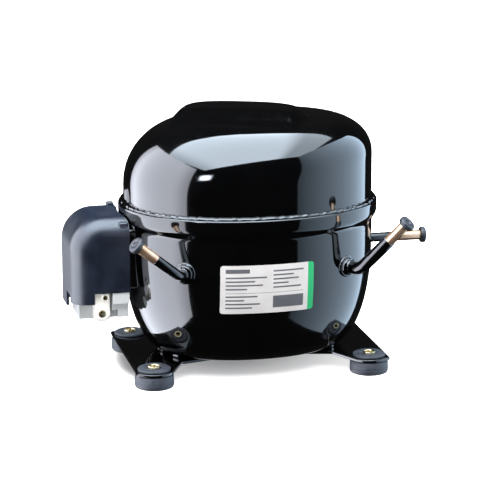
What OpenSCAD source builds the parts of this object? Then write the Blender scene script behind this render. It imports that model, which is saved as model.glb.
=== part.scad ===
// Hermetic reciprocating compressor, millimetres, +Z up.
// The origin is on the floor, at the centre of the four foot bolts. +X is the discharge end,
// -X is the electrical end and -Y is the labelled front.

/* [Shell] */
// Length of the upper shell at the seam
shell_l = 194; // [190:1:198]
// Depth of the upper shell at the seam
shell_w = 152; // [149:1:155]
// How square the shell's plan is: 2 is an ellipse
plan_power = 2.14; // [2.05:0.01:2.25]
// Thickness of the pressed shells
wall = 3; // [2.5:0.5:3]
// Height of the shell's underside
shell_bottom = 13; // [13:0.5:14]
// Height of the flared rim where the shells are welded
rim_z = 132; // [131:0.5:133]
// How far the rim flares out of the wall
rim_flare = 3.6; // [3:0.2:4]
// Height of the dome's top, without its crown and its raised pad
dome_z = 192.7; // [191:0.1:194]
// Height of the pad pressed up in the dome
pad_h = 7.7; // [6:0.1:8.4]
// Length of that pad
pad_l = 109; // [104:1:112]
// Depth of that pad
pad_w = 67; // [62:1:70]

/* [Feet] */
// Distance between the foot bolts along X
bolt_x = 170; // [168:1:172]
// Distance between the foot bolts along Y
bolt_y = 102; // [100:1:104]
// Diameter of a rubber foot
foot_d = 30; // [28:1:31]
// Thickness of the foot brackets
bracket_t = 2.5; // [2:0.5:2.5]
// Radius of the bolt hole in a foot sleeve
bolt_hole_r = 3.3; // [3:0.1:3.5]

/* [Tubes] */
// Outer radius of the suction tube's copper end
suction_r = 4.1; // [3.8:0.1:4.3]
// Outer radius of the process tube's copper end
process_r = 4; // [3.7:0.1:4.2]
// Outer radius of the discharge tube's copper end
discharge_r = 3.9; // [3.6:0.1:4.1]
// Wall of the copper ends
copper_t = 0.9; // [0.8:0.1:1]

/* [Terminal cover] */
// How far the cover stands out along -X, from the origin
cover_x = 143; // [142:0.5:144.5]
// Depth of the cover along Y
cover_w = 56; // [54:1:58]
// Height of the cover's top
cover_top = 126; // [125:0.5:128]
// Height of the cover's lower edge at its front
cover_low = 60.5; // [60:0.5:62]
// Wall of the cover
cover_t = 2; // [1.8:0.1:2.2]

/* [Label] */
// Length of the label
label_l = 72; // [60:1:76]
// Height of the label
label_h = 38; // [30:1:40]

/* [Motor and pump] */
// Side of the square stator
stator_side = 100; // [98:1:102]
// Radius of the stator's bore
stator_bore_r = 30; // [29:0.5:31]
// Radius of the crankshaft
shaft_r = 8; // [7.5:0.5:8.5]
// Throw of the crank: half the piston's stroke
crank_throw = 9; // [8:0.5:9]
// Radius of the cylinder's bore
cylinder_r = 13; // [12.5:0.5:13]
// Running gap in the bearings and the cylinder, on the radius
running_gap = 0.03; // [0.02:0.01:0.05]
// Length of the connecting rod between its centres
rod_l = 36; // [36:0.5:37]
// Coils in a suspension spring
spring_coils = 6; // [5:1:7]

/* [Hidden] */
$fn = 48;
half_l = shell_l / 2;
half_w = shell_w / 2;
sides = 64;
corners = [[-1, -1], [1, -1], [1, 1], [-1, 1]];
// The lower shell is a little larger than the upper one, which nests in its rim
lower_grow = 0.5;
nest_gap = 0.3;
ledge_z = rim_z - 10;
flare_z = rim_z - 17;
flare_h = 8;
belly_z = 90;
belly_h = belly_z - shell_bottom;
belly_draft = 6;
belly_round = 32;
belly_power = 2.6;
// Dome: the shoulder is long at the -X end and short at the +X end
shoulder_left_z = 144.7;
shoulder_right_z = 167.7;
flat_left = 0.47;
flat_right = 0.71;
shoulder_power = 2.09;
last_shoulder = 46;
crown_h = 3.8;
pad_at = [-7.4, -2.2];
pad_turn = -24.6;
pad_ramp = 7.5;
pad_front = 30;
pad_power = 3.3;
pad_inner = 1 - 2 * pad_ramp / pad_w;
pad_top_rings = [0.59, 0.4, 0.22];
// Feet and brackets
foot_base_h = 10.5;
bracket_z = foot_base_h;
bracket_top = bracket_z + bracket_t;
foot_edge = 1.2;
foot_taper = 0.3;
foot_rim = 1.4;
foot_sunk = 0.8;
foot_waist_r = 8;
foot_cap_r = 12.7;
foot_top = bracket_top + 2.3;
sleeve_r = 4.9;
sleeve_top = foot_top + 1;
ear_r = 15;
bracket_edge_x = bolt_x / 2 + 14.5;
bracket_neck = [60, 35];
bracket_inner = [30, 28];
// Label on the front
label_at = [-1.8, 78];
label_corner = 2.5;
label_t = 0.3;
// Tubes: plan angle and height of the root, bend, steel run and copper run
collar_r = 7;
collar_out = 3.5;
collar_in = 6;
collar_edge = 1.2;
bend_r = 12;
bend_steps = 5;
tube_sides = 20;
suction_root = [-50.4, 88];
suction_lead = 7.8;
suction_way = [-37.4, 46.5];
suction_steel = 28.5;
suction_copper = 17.8;
process_root = [231.3, 89.9];
process_lead = 4.1;
process_way = [-163.7, 38.4];
process_steel = 20.2;
process_copper = 17.4;
discharge_root = [9, 90.5];
discharge_steel = 26;
discharge_copper = 22.5;
suction_steel_r = suction_r + 0.8;
process_steel_r = process_r - 0.1;
discharge_steel_r = discharge_r - 0.2;
steel_t = 1;
plug_flange_r = 6.3;
plug_flange_t = 4.2;
plug_stem = 9;
plug_clear = 0.35;
plug_lift = 0.2;
plug_edge = 0.8;
plug_dimple_r = 2.2;
plug_dimple = 1.4;
// Terminal end
terminal_z = 93;
terminal_r = 18;
terminal_out = 3.5;
terminal_h = 9.5;
pin_out = 13;
pin_in = 9;
pin_r = 1.6;
pin_circle = 9;
fence_half = 24;
fence_low = 69.2;
fence_top = 118;
fence_x = 109;
fence_t = 1.5;
fence_corner = 4;
relay_from = [-124, -20, 74];
relay_to = [-103, 4, 112];
protector_from = [-116, 4.6, 77];
protector_to = [-103, 21.6, 99];
protector_r = 8;
protector_h = 6;
cover_open_x = 98.5;
cover_notch_x = 126;
cover_high = 69;
// The opening's plane turns back from the front edge, to clear the rim
cover_open_turn = 3;
// Roundings at the front, at the back, and over the outer end
cover_corner = 13;
cover_back_corner = 4;
cover_round = 24;
// Two catches on the cover: at its back edge and at its front rounding
nub_from = [-107.6, 21.5, 120];
nub_to = [-101.9, 27, 128.6];
lug_from = [-106.5, -26.6, 110];
lug_to = [-99, -18, 123.4];
// The cover hangs lower behind the cord's arch
cover_tail = 53;
arch_back = 3;
arch_front = -15;
arch_top = 65.5;
seal_gap = 1.2;
// White block under the cover, with the cord's channel, its front strip and its cheek
block_out = -136;
block_in = -99;
block_back = 22;
block_z = 46;
block_top = fence_low;
cord_end = -110;
cord_low = 57;
cord_high = 65;
cord_front = -14;
cord_back = -4;
strip_out = -112;
strip_front = -27;
strip_low = 60;
strip_top = cover_high - 0.5;
cheek_front = -22;
cheek_low = 48;
cheek_high = 60;
cheek_slot = [6, 2];
// Cord clamp with a large screw and a small earth screw
clamp_out = -126;
clamp_in = -113.5;
clamp_front = -24;
clamp_high = 68.4;
boss_at = [-120.4, 52.8];
boss_r = 6.2;
boss_front = -28;
screw_r = 2;
screw_head_r = 2.8;
screw_sunk = 1.8;
earth_at = [-117.7, 65.4];
earth_r = 2.9;
earth_front = -27.5;
earth_screw_r = 1.2;
earth_head_r = 1.9;
earth_sunk = 0.7;
head_proud = 0.2;
// Motor
stator_low = 58;
stator_top = 108;
winding_r = 43;
winding_h = 15;
slots = 24;
slot_in = 33;
slot_out = 40;
slot_w = 4.4;
slot_lap = 4;
end_turn_round = 3;
stator_corner = 14;
shaft_low = 32;
oil_bore_r = 4;
oil_bore_top = 61;
pickup_low = 21;
pickup_top = 44;
pickup_t = 0.8;
// Posts that carry the block, each on a stator bolt and over a spring
post_at = [44, 24];
stator_bolt_r = 3;
rotor_gap = 0.5;
// Pump
block_low = 127;
block_deck = 138;
bolt_end = block_low + 8;
post_r = 6;
hub_low = 112;
hub_r = 15;
disc_r = 20;
disc_low = 139;
disc_top = 143.5;
pin_crank_r = 6;
rod_low = 151;
rod_t = 12;
axis_z = rod_low + rod_t / 2;
pin_top = rod_low - 0.5;
bore_start = 24;
bore_end = 57;
gasket_t = 0.5;
gasket_r = cylinder_r + 0.5;
plate_t = 3;
head_half = 22;
head_depth = 13;
plate_x = bore_end + gasket_t;
head_x = plate_x + plate_t + gasket_t;
head_bolt_at = 18;
head_bolt_r = 2.5;
head_bolt_deep = 16;
head_bolt_hole_r = 2.6;
bolt_head_r = 4.4;
bolt_head_h = 4;
chamber_high = 12;
chamber_deep = 9;
suction_chamber = [-15, 1];
discharge_chamber = [3.2, 15];
head_port_r = 1.8;
head_port_x = head_x + 5;
muffler_at = [40, -38];
muffler_size = [40, 24];
muffler_corner = 7;
muffler_h = 27;
muffler_end = muffler_at[0] + muffler_size[0] / 2;
line_r = 2.5;
line_sides = 8;
piston_l = 22;
piston_pocket = 2.3;
pocket_half = [5, 10.5];
rod_slot_half = 10;
rod_clear = 0.4;
rod_half = 4;
wrist_pin_half = 11.5;
wrist_x = crank_throw + rod_l;
wrist_r = 4.5;
big_end_r = 12.5;
small_end_r = 7;
reed_t = 0.3;
reed_w = 8;
reed_half = 9;
reed_gap = 0.05;
port_drop = 5;
suction_port_r = 3;
discharge_port_r = 2;
suction_reed_y = -3;
discharge_reed_y = 7;
// Springs
spring_r = 5.5;
spring_wire = 1.6;
spring_low = 18;
spring_high = 56;
spring_cap_r = 7;
spring_seat_r = 7.5;
seat_stud_r = 4.2;
seat_stud_h = 8;
seat_gap = 0.05;
coil_gap = 0.2;

// Curves of the shell
function signed_pow(c, e) = sign(c) * pow(abs(c), e);
function ease(u) = let (c = min(1, max(0, u))) c * c * (3 - 2 * c);
function blend(a, b, u) = a + (b - a) * u;
function oval(t, grow) = [
    (half_l + grow) * signed_pow(cos(t), 2 / plan_power),
    (half_w + grow) * signed_pow(sin(t), 2 / plan_power)
];
function angles() = [for (i = [0 : sides - 1]) 360 * i / sides];
function ring(grow, z) = [for (t = angles()) concat(oval(t, grow), z)];

// Way out of the shell, as an angle in plan, at plan angle t
function out_angle(t) = atan2(
    signed_pow(sin(t), 2 - 2 / plan_power) / (half_w + lower_grow),
    signed_pow(cos(t), 2 - 2 / plan_power) / (half_l + lower_grow)
);

// Belly of the lower shell: f runs from 0 at the straight wall to 90 at the flat underside
function belly_drop(f) = pow(sin(f), 2 / belly_power);
function belly_in(f) = belly_draft * pow(belly_drop(f), 1.3)
    + belly_round * (1 - pow(cos(f), 2 / belly_power));
function belly_ring(f, thick) = ring(
    lower_grow - belly_in(f) - thick,
    belly_z - (belly_h - thick) * belly_drop(f)
);
function flare_ring(z) = ring(lower_grow + rim_flare * ease((z - flare_z) / flare_h), z);
function belly_rings(skin) = [for (f = [90, 82, 74, 64, 54, 44, 34, 24, 12, 0]) belly_ring(f, skin)];
function flare_rings() = [for (z = [flare_z : 2 : flare_z + flare_h]) flare_ring(z)];

// Dome of the upper shell, as a height over a point of its plan
function plan_radius(p) = pow(
    pow(abs(p[0]) / half_l, plan_power) + pow(abs(p[1]) / half_w, plan_power),
    1 / plan_power
);
function end_mix(t) = ease(0.5 + 0.5 * signed_pow(cos(t), 2 / plan_power));
function point_mix(p, r) = r == 0 ? 0.5 : ease(0.5 + 0.5 * p[0] / (half_l * r));
function pad_local(p) = let (d = p - pad_at) [
    d[0] * cos(pad_turn) + d[1] * sin(pad_turn),
    d[1] * cos(pad_turn) - d[0] * sin(pad_turn)
];
// Steep at its back and ends, and run out softly to the front
function pad_lift(p) = let (
    q = pad_local(p),
    r = pow(
        pow(abs(q[0]) * 2 / pad_l, pad_power) + pow(max(0, q[1]) * 2 / pad_w, pad_power),
        1 / pad_power
    )
) pad_h * ease((1 - r) * pad_w / 2 / pad_ramp) * ease((q[1] + pad_w / 2) / pad_front);
function dome_height(p) = let (
    r = min(1, plan_radius(p)),
    mix = point_mix(p, r),
    flat = blend(flat_left, flat_right, mix),
    low = blend(shoulder_left_z, shoulder_right_z, mix),
    s = min(1, max(0, (r - flat) / (1 - flat)))
) blend(low, dome_z, pow(1 - pow(s, shoulder_power), 1 / shoulder_power))
    + crown_h * (1 - r * r)
    + pad_lift(p);
function shrink(p, thick) = [p[0] * (half_l - thick) / half_l, p[1] * (half_w - thick) / half_w];
function dome_point(p, thick) = concat(shrink(p, thick), dome_height(p) - thick);
function shoulder_plan(t, f) = let (
    flat = blend(flat_left, flat_right, end_mix(t))
) oval(t, 0) * (flat + (1 - flat) * pow(cos(f), 2 / shoulder_power));
function pad_plan(t, k) = let (
    x = k * pad_l / 2 * signed_pow(cos(t), 2 / pad_power),
    y = k * pad_w / 2 * signed_pow(sin(t), 2 / pad_power)
) pad_at + [x * cos(pad_turn) - y * sin(pad_turn), x * sin(pad_turn) + y * cos(pad_turn)];
// The pad's own angles trail its turn, so that rings don't twist on the way to it
function pad_angle(t) = t - pad_turn;
function shoulder_ring(f, thick) = [for (t = angles()) dome_point(shoulder_plan(t, f), thick)];
function pad_ring(k, thick) = [for (t = angles()) dome_point(pad_plan(pad_angle(t), k), thick)];
function between_ring(u, thick) = [
    for (t = angles()) let (
        from = shoulder_plan(t, last_shoulder),
        to = pad_plan(pad_angle(t), 1)
    ) dome_point(blend(from, to, u), thick)
];
function dome_rings(steps, gaps, pads, thick) = concat(
    [for (f = steps) shoulder_ring(f, thick)],
    [for (u = gaps) between_ring(u, thick)],
    [for (k = pads) pad_ring(k, thick)]
);
function reversed(list) = [for (i = [len(list) - 1 : -1 : 0]) list[i]];

// A closed skin over a stack of rings; the two ends are drawn in to their middles
module loft(rings, first, last) {
    n = len(rings[0]);
    m = len(rings);
    points = concat([for (r = rings, p = r) p], [first, last]);
    walls = [
        for (i = [0 : m - 2], j = [0 : n - 1], k = [0, 1])
        let (a = i * n + j, b = i * n + (j + 1) % n)
        k == 0 ? [a, a + n, b + n] : [a, b + n, b]
    ];
    start = [for (j = [0 : n - 1]) [m * n, j, (j + 1) % n]];
    finish = [for (j = [0 : n - 1]) [m * n + 1, (m - 1) * n + (j + 1) % n, (m - 1) * n + j]];
    polyhedron(points, concat(walls, start, finish), convexity = 6);
}

// A closed skin over rings that come back to the first one
module loft_loop(rings) {
    n = len(rings[0]);
    m = len(rings);
    points = [for (r = rings, p = r) p];
    walls = [
        for (i = [0 : m - 1], j = [0 : n - 1], k = [0, 1])
        let (i2 = (i + 1) % m, j2 = (j + 1) % n)
        k == 0 ? [i * n + j, i2 * n + j, i2 * n + j2] : [i * n + j, i2 * n + j2, i * n + j2]
    ];
    polyhedron(points, walls, convexity = 6);
}

// A round tube swept along points, closed at both ends
function unit(v) = v / norm(v);
function sweep_way(path, i) = unit(path[min(len(path) - 1, i + 1)] - path[max(0, i - 1)]);
function sweep_ring(path, i, r, n) = let (
    way = sweep_way(path, i),
    across = unit(cross(way, abs(way[2]) > 0.9 ? [1, 0, 0] : [0, 0, 1])),
    up = cross(across, way)
) [for (k = [0 : n - 1]) path[i] + r * (across * cos(360 * k / n) - up * sin(360 * k / n))];
module sweep(path, r, n) {
    rings = [for (i = [0 : len(path) - 1]) sweep_ring(path, i, r, n)];
    loft(rings, path[0], path[len(path) - 1]);
}

// Smooth route through hand-chosen points
function route_at(points, i, u) = let (
    n = len(points) - 1,
    a = points[max(0, i - 1)],
    b = points[i],
    c = points[i + 1],
    d = points[min(n, i + 2)]
) 0.5 * (2 * b + (c - a) * u + (2 * a - 5 * b + 4 * c - d) * u * u + (3 * b - a - 3 * c + d) * u * u * u);
function route(points, steps) = concat(
    [for (i = [0 : len(points) - 2], k = [0 : steps - 1]) route_at(points, i, k / steps)],
    [points[len(points) - 1]]
);

// Shapes that repeat
module bar(from, to) { translate(from) cube(to - from); }
module along_x(x) { translate([x, 0, 0]) rotate([0, 90, 0]) children(); }
module pipe(r_out, r_in, h) {
    linear_extrude(h) difference() {
        circle(r_out);
        circle(r_in);
    }
}
module rounded_plate(size, r) {
    square([size[0] - 2 * r, size[1]], center = true);
    square([size[0], size[1] - 2 * r], center = true);
    for (c = corners) translate([c[0] * (size[0] / 2 - r), c[1] * (size[1] / 2 - r)]) circle(r);
}

// Places of the tubes: at the root, and at the end of the bend
module at_root(root) {
    p = oval(root[0], lower_grow);
    translate([p[0], p[1], root[1]]) rotate([0, 0, out_angle(root[0])]) children();
}
function bend_turn(root, way) = acos(cos(way[1]) * cos(way[0] - out_angle(root[0])));
function bend_roll(root, way) = atan2(-cos(way[1]) * sin(way[0] - out_angle(root[0])), sin(way[1]));
module after_bend(root, lead, way) {
    turn = bend_turn(root, way);
    at_root(root) rotate([bend_roll(root, way), 0, 0])
        translate([lead + bend_r * sin(turn), 0, bend_r * (1 - cos(turn))])
            rotate([0, 90 - turn, 0]) children();
}
// Straight tube through the shell's wall, with its weld collar
module straight_tube(r, run) {
    r_in = r - steel_t;
    rotate_extrude() polygon([
        [r_in, -collar_in],
        [r, -collar_in],
        [r, 1 - collar_in],
        [collar_r, 1 - collar_in],
        [collar_r, collar_out - collar_edge],
        [collar_r - collar_edge, collar_out],
        [r, collar_out],
        [r, run],
        [r_in, run]
    ]);
}
// Bent tube: a round skin and its bore, swept along the lead, the bend and the straight run
function way_vector(way) = [cos(way[1]) * cos(way[0]), cos(way[1]) * sin(way[0]), sin(way[1])];
function bend_path(root, lead, way, run) = let (
    start = concat(oval(root[0], lower_grow), root[1]),
    out = [cos(out_angle(root[0])), sin(out_angle(root[0])), 0],
    to = way_vector(way),
    side = unit(to - out * (out * to)),
    turn = bend_turn(root, way),
    bend = [
        for (k = [0 : bend_steps])
        let (a = turn * k / bend_steps)
        start + out * (lead + bend_r * sin(a)) + side * bend_r * (1 - cos(a))
    ]
) concat([start - out * collar_in], bend, [bend[bend_steps] + to * run]);
module bent_tube(root, lead, way, run, r) {
    path = bend_path(root, lead, way, run);
    last = len(path) - 1;
    loft_loop(concat(
        [for (i = [0 : last]) sweep_ring(path, i, r, tube_sides)],
        [for (i = [last : -1 : 0]) sweep_ring(path, i, r - steel_t, tube_sides)]
    ));
    at_root(root) along_x(0) rotate_extrude() polygon([
        [r - steel_t / 2, 1 - collar_in],
        [collar_r, 1 - collar_in],
        [collar_r, collar_out - collar_edge],
        [collar_r - collar_edge, collar_out],
        [r - steel_t / 2, collar_out]
    ]);
}
module copper_end(r, h) { pipe(r, r - copper_t, h); }
module rubber_plug(r) {
    stem_r = r - copper_t - plug_clear;
    rotate_extrude() polygon([
        [0, -plug_stem],
        [stem_r - plug_edge, -plug_stem],
        [stem_r, -plug_stem + 2 * plug_edge],
        [stem_r, plug_lift],
        [plug_flange_r, plug_lift],
        [plug_flange_r, plug_flange_t - plug_edge],
        [plug_flange_r - plug_edge, plug_flange_t],
        [plug_dimple_r, plug_flange_t],
        [plug_dimple_r - plug_edge, plug_flange_t - plug_dimple],
        [0, plug_flange_t - plug_dimple]
    ]);
}
module at_suction_end() {
    after_bend(suction_root, suction_lead, suction_way) translate([0, 0, suction_steel]) children();
}
module at_process_end() {
    after_bend(process_root, process_lead, process_way) translate([0, 0, process_steel]) children();
}
module at_discharge() {
    p = oval(discharge_root[0], lower_grow);
    translate([p[0], p[1], discharge_root[1]]) rotate([0, 90, 0]) children();
}

// Shells
module lower_solid() {
    loft(concat(belly_rings(0), flare_rings()), [0, 0, shell_bottom], [0, 0, flare_z + flare_h]);
}
module lower_cavity() {
    skin = wall + seat_gap;
    rings = concat(belly_rings(skin), [ring(lower_grow - skin, flare_z)]);
    loft(rings, [0, 0, shell_bottom + skin], [0, 0, flare_z]);
}
module lower_shell() {
    rim = [
        ring(lower_grow + rim_flare, rim_z - 2),
        ring(lower_grow + rim_flare - 0.5, rim_z - 0.6),
        ring(lower_grow + rim_flare - 1.2, rim_z),
        ring(nest_gap, rim_z),
        ring(nest_gap, ledge_z),
        ring(lower_grow - wall, ledge_z)
    ];
    rings = concat(belly_rings(0), flare_rings(), rim, reversed(belly_rings(wall)));
    color([0.03, 0.03, 0.04]) difference() {
        loft(rings, [0, 0, shell_bottom], [0, 0, shell_bottom + wall]);
        for (root = [suction_root, process_root])
            at_root(root) along_x(-2 * collar_in) cylinder(r = collar_r, h = 4 * collar_in);
        at_discharge() translate([0, 0, -2 * collar_in]) cylinder(r = collar_r, h = 4 * collar_in);
        translate([0, 0, terminal_z]) along_x(-half_l - 2 * wall) cylinder(r = terminal_r, h = 5 * wall);
    }
}
module upper_shell() {
    ramp = [for (u = [0 : 3]) blend(1, pad_inner, u / 3)];
    skin = dome_rings([0, 10, 22, 34, last_shoulder], [0.2, 0.4, 0.6, 0.8], concat(ramp, pad_top_rings), 0);
    lining = dome_rings([0, 25, last_shoulder], [0.5], concat([1, pad_inner], pad_top_rings), wall);
    inner = concat(reversed(lining), [ring(-wall, ledge_z)]);
    outer = concat([ring(0, ledge_z)], skin);
    color([0.03, 0.03, 0.04])
        loft(concat(inner, outer), dome_point(pad_at, wall), dome_point(pad_at, 0));
}
module seam_weld() {
    color([0.05, 0.05, 0.06]) loft_loop([
        ring(2.2, rim_z),
        ring(1.9, rim_z + 0.9),
        ring(1, rim_z + 1.6),
        ring(0, rim_z + 1.9),
        ring(0, rim_z)
    ]);
}

// Feet
function tangent_point(c, r, q) = let (
    d = q - c,
    a = atan2(d[1], d[0]) + 360 - acos(r / norm(d))
) c + r * [cos(a), sin(a)];
function bracket_half() = let (foot = [bolt_x / 2, bolt_y / 2]) [
    [bracket_edge_x, foot[1] + 9],
    foot + ear_r * [cos(62), sin(62)],
    tangent_point(foot, ear_r, bracket_neck),
    bracket_neck,
    bracket_inner
];
function flip_y(points) = [for (p = points) [p[0], -p[1]]];
module bracket_outline() {
    difference() {
        union() {
            polygon(concat(bracket_half(), reversed(flip_y(bracket_half()))));
            at_side_feet() circle(ear_r);
        }
        at_side_feet() circle(foot_waist_r);
    }
}
module at_side_feet() {
    for (s = [-1, 1]) translate([bolt_x / 2, s * bolt_y / 2]) children();
}
module at_feet() {
    for (c = corners) translate([c[0] * bolt_x / 2, c[1] * bolt_y / 2]) children();
}
module right_bracket() {
    color([0.05, 0.05, 0.06]) translate([0, 0, bracket_z]) linear_extrude(bracket_t) bracket_outline();
}
module left_bracket() { mirror([1, 0, 0]) right_bracket(); }
module rubber_feet() {
    color([0.22, 0.24, 0.27]) at_feet() rotate_extrude() polygon([
        [sleeve_r, 0],
        [foot_d / 2 - foot_edge, 0],
        [foot_d / 2, foot_edge],
        [foot_d / 2 - foot_taper, foot_base_h],
        [foot_waist_r, foot_base_h],
        [foot_waist_r, bracket_top],
        [foot_cap_r, bracket_top],
        [foot_cap_r, foot_top - foot_edge],
        [foot_cap_r - foot_edge, foot_top],
        [sleeve_r + foot_rim, foot_top],
        [sleeve_r + foot_rim, foot_top - foot_sunk],
        [sleeve_r, foot_top - foot_sunk]
    ]);
}
module foot_sleeves() {
    color([0.8, 0.72, 0.42]) at_feet() pipe(sleeve_r, bolt_hole_r, sleeve_top);
}

// Label: a thin sheet that follows the shell's front
module data_label() {
    color([0.85, 0.87, 0.88]) difference() {
        intersection() {
            translate([label_at[0], -half_w / 2, label_at[1]]) rotate([90, 0, 0]) linear_extrude(half_w)
                rounded_plate([label_l, label_h], label_corner);
            loft(
                concat(belly_rings(-label_t), [ring(lower_grow + label_t, flare_z)]),
                [0, 0, shell_bottom - label_t],
                [0, 0, flare_z]
            );
        }
        lower_solid();
    }
}

// Tubes
module suction_tube() {
    color([0.06, 0.06, 0.07])
        bent_tube(suction_root, suction_lead, suction_way, suction_steel, suction_steel_r);
}
module suction_stub() {
    color([0.87, 0.55, 0.36]) at_suction_end() copper_end(suction_r, suction_copper);
}
module suction_plug() {
    color([0.16, 0.17, 0.2]) at_suction_end() translate([0, 0, suction_copper]) rubber_plug(suction_r);
}
module process_tube() {
    color([0.06, 0.06, 0.07])
        bent_tube(process_root, process_lead, process_way, process_steel, process_steel_r);
}
module process_stub() {
    color([0.87, 0.55, 0.36]) at_process_end() copper_end(process_r, process_copper);
}
module process_plug() {
    color([0.16, 0.17, 0.2]) at_process_end() translate([0, 0, process_copper]) rubber_plug(process_r);
}
module discharge_tube() {
    color([0.06, 0.06, 0.07]) at_discharge() straight_tube(discharge_steel_r, discharge_steel);
}
module discharge_stub() {
    color([0.87, 0.55, 0.36]) at_discharge() translate([0, 0, discharge_steel])
        copper_end(discharge_r, discharge_copper);
}
module discharge_plug() {
    color([0.16, 0.17, 0.2]) at_discharge() translate([0, 0, discharge_steel + discharge_copper])
        rubber_plug(discharge_r);
}

// Electrical end
module at_pins() {
    for (a = [90, 210, 330])
        translate([0, pin_circle * cos(a), terminal_z + pin_circle * sin(a)]) children();
}
module pin_rods(x0, x1) { at_pins() along_x(x0) cylinder(r = pin_r, h = x1 - x0); }
module hermetic_terminal() {
    color([0.55, 0.55, 0.56]) difference() {
        translate([0, 0, terminal_z]) along_x(-half_l - terminal_out)
            cylinder(r = terminal_r, h = terminal_h);
        pin_rods(-half_l - pin_out, -half_l + pin_in);
    }
}
module terminal_pins() { color([0.72, 0.7, 0.66]) pin_rods(-half_l - pin_out, -half_l + pin_in); }
module terminal_fence() {
    h = fence_top - fence_low;
    color([0.05, 0.05, 0.06]) difference() {
        translate([-fence_x, 0, (fence_low + fence_top) / 2]) rotate([0, 90, 0])
            linear_extrude(fence_x - half_l + 12) difference() {
                rounded_plate([h, 2 * fence_half], fence_corner);
                rounded_plate([h - 2 * fence_t, 2 * (fence_half - fence_t)], fence_corner - fence_t);
            }
        lower_solid();
    }
}
module start_relay() {
    color([0.12, 0.12, 0.13]) difference() {
        bar(relay_from, relay_to);
        pin_rods(-half_l - pin_out, -half_l);
    }
}
module overload_protector() {
    middle = (protector_from + protector_to) / 2;
    color([0.14, 0.13, 0.12]) difference() {
        union() {
            bar(protector_from, protector_to);
            translate([0, middle[1], middle[2]]) along_x(protector_from[0] - protector_h)
                cylinder(r = protector_r, h = protector_h);
        }
        pin_rods(-half_l - pin_out, -half_l);
    }
}
module along_y(at, y0, y1, r) {
    translate([at[0], y0, at[1]]) rotate([-90, 0, 0]) cylinder(r = r, h = y1 - y0);
}
module terminal_block() {
    color([0.9, 0.9, 0.87]) difference() {
        union() {
            bar([block_out, cord_front, block_z], [block_in, block_back, block_top]);
            bar([strip_out, strip_front, strip_low], [block_in, cord_front, strip_top]);
            bar([strip_out, cheek_front, cheek_low], [block_in, cord_front, cheek_high]);
        }
        bar([block_out - 1, cord_front - 1, cord_low], [cord_end, cord_back, cord_high]);
        bar(
            [strip_out - 1, cheek_front - 1, block_z],
            [strip_out + cheek_slot[0], cord_front, cheek_low + cheek_slot[1]]
        );
        along_y(boss_at, cord_front - 1, cord_back, screw_r);
    }
}
module cord_clamp() {
    color([0.93, 0.92, 0.88]) difference() {
        union() {
            bar([clamp_out, clamp_front, block_z + 1], [clamp_in, cord_front, clamp_high]);
            along_y(boss_at, boss_front, clamp_front, boss_r);
            along_y(earth_at, earth_front, clamp_front, earth_r);
        }
        along_y(boss_at, boss_front - 1, cord_front + 1, screw_r);
        along_y(boss_at, boss_front - 1, boss_front + screw_sunk, screw_head_r);
        along_y(earth_at, earth_front - 1, cord_front - 4, earth_screw_r);
        along_y(earth_at, earth_front - 1, earth_front + earth_sunk, earth_head_r);
    }
}
module screw(at, face, sunk, deep, head_r, r) {
    difference() {
        union() {
            along_y(at, face - head_proud, face + sunk, head_r);
            along_y(at, face + sunk, deep, r);
        }
        bar([at[0] - 0.5, face - 1, at[1] - head_r], [at[0] + 0.5, face + sunk / 2, at[1] + head_r]);
    }
}
module clamp_screws() {
    color([0.7, 0.62, 0.4]) {
        screw(boss_at, boss_front, screw_sunk, cord_back, screw_head_r, screw_r);
        screw(earth_at, earth_front, earth_sunk, cord_front - 4, earth_head_r, earth_screw_r);
    }
}
module cover_body(inset) {
    low = cover_tail - 1 - inset;
    length = cover_x - half_l + 6 - inset;
    depth = cover_w - 2 * inset;
    height = cover_top - low - inset;
    front = cover_corner - inset;
    back = cover_back_corner - inset;
    big = cover_round - inset;
    translate([inset - cover_x, 0, low]) intersection() {
        translate([0, depth / 2, 0]) rotate([90, 0, 0]) linear_extrude(depth) {
            square([length, height - big]);
            translate([big, 0]) square([length - big, height]);
            translate([big, height - big]) circle(big);
        }
        linear_extrude(height) {
            translate([front, -depth / 2]) square([length - front, depth - back]);
            translate([back, front - depth / 2]) square([length - back, depth - front]);
            translate([0, front - depth / 2]) square([length, depth - front - back]);
            translate([front, front - depth / 2]) circle(front);
            translate([back, depth / 2 - back]) circle(back);
        }
        rotate([90, 0, 90]) linear_extrude(length) {
            translate([-depth / 2, 0]) square([depth - back, height - front]);
            translate([front - depth / 2, 0]) square([depth - front, height - back]);
            translate([front - depth / 2, 0]) square([depth - front - back, height]);
            translate([front - depth / 2, height - front]) circle(front);
            translate([depth / 2 - back, height - back]) circle(back);
        }
    }
}
module plan_prism(grow, z0, z1) {
    translate([0, 0, z0]) linear_extrude(z1 - z0) polygon([for (t = angles()) oval(t, grow)]);
}
module terminal_cover() {
    color([0.2, 0.22, 0.26]) difference() {
        union() {
            cover_body(0);
            bar(nub_from, nub_to);
            bar(lug_from, lug_to);
        }
        cover_body(cover_t);
        bar([-cover_x - 1, -cover_w, 0], [0, cover_w, cover_tail]);
        bar([-cover_x - 1, -cover_w, 0], [0, arch_back, cover_low]);
        bar([-cover_notch_x, -cover_w, 0], [0, cover_w, cover_high]);
        bar([-cover_x - 1, arch_front, 0], [-cover_x + 2 * cover_t, arch_back, arch_top]);
        translate([-cover_open_x, -cover_w / 2, 0]) rotate([0, 0, cover_open_turn])
            bar([0, -cover_w, 0], [half_l, 2 * cover_w, 2 * cover_top]);
        plan_prism(lower_grow + seal_gap, 0, flare_z);
        plan_prism(lower_grow + rim_flare + seal_gap, flare_z, 2 * rim_z);
    }
}

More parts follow.
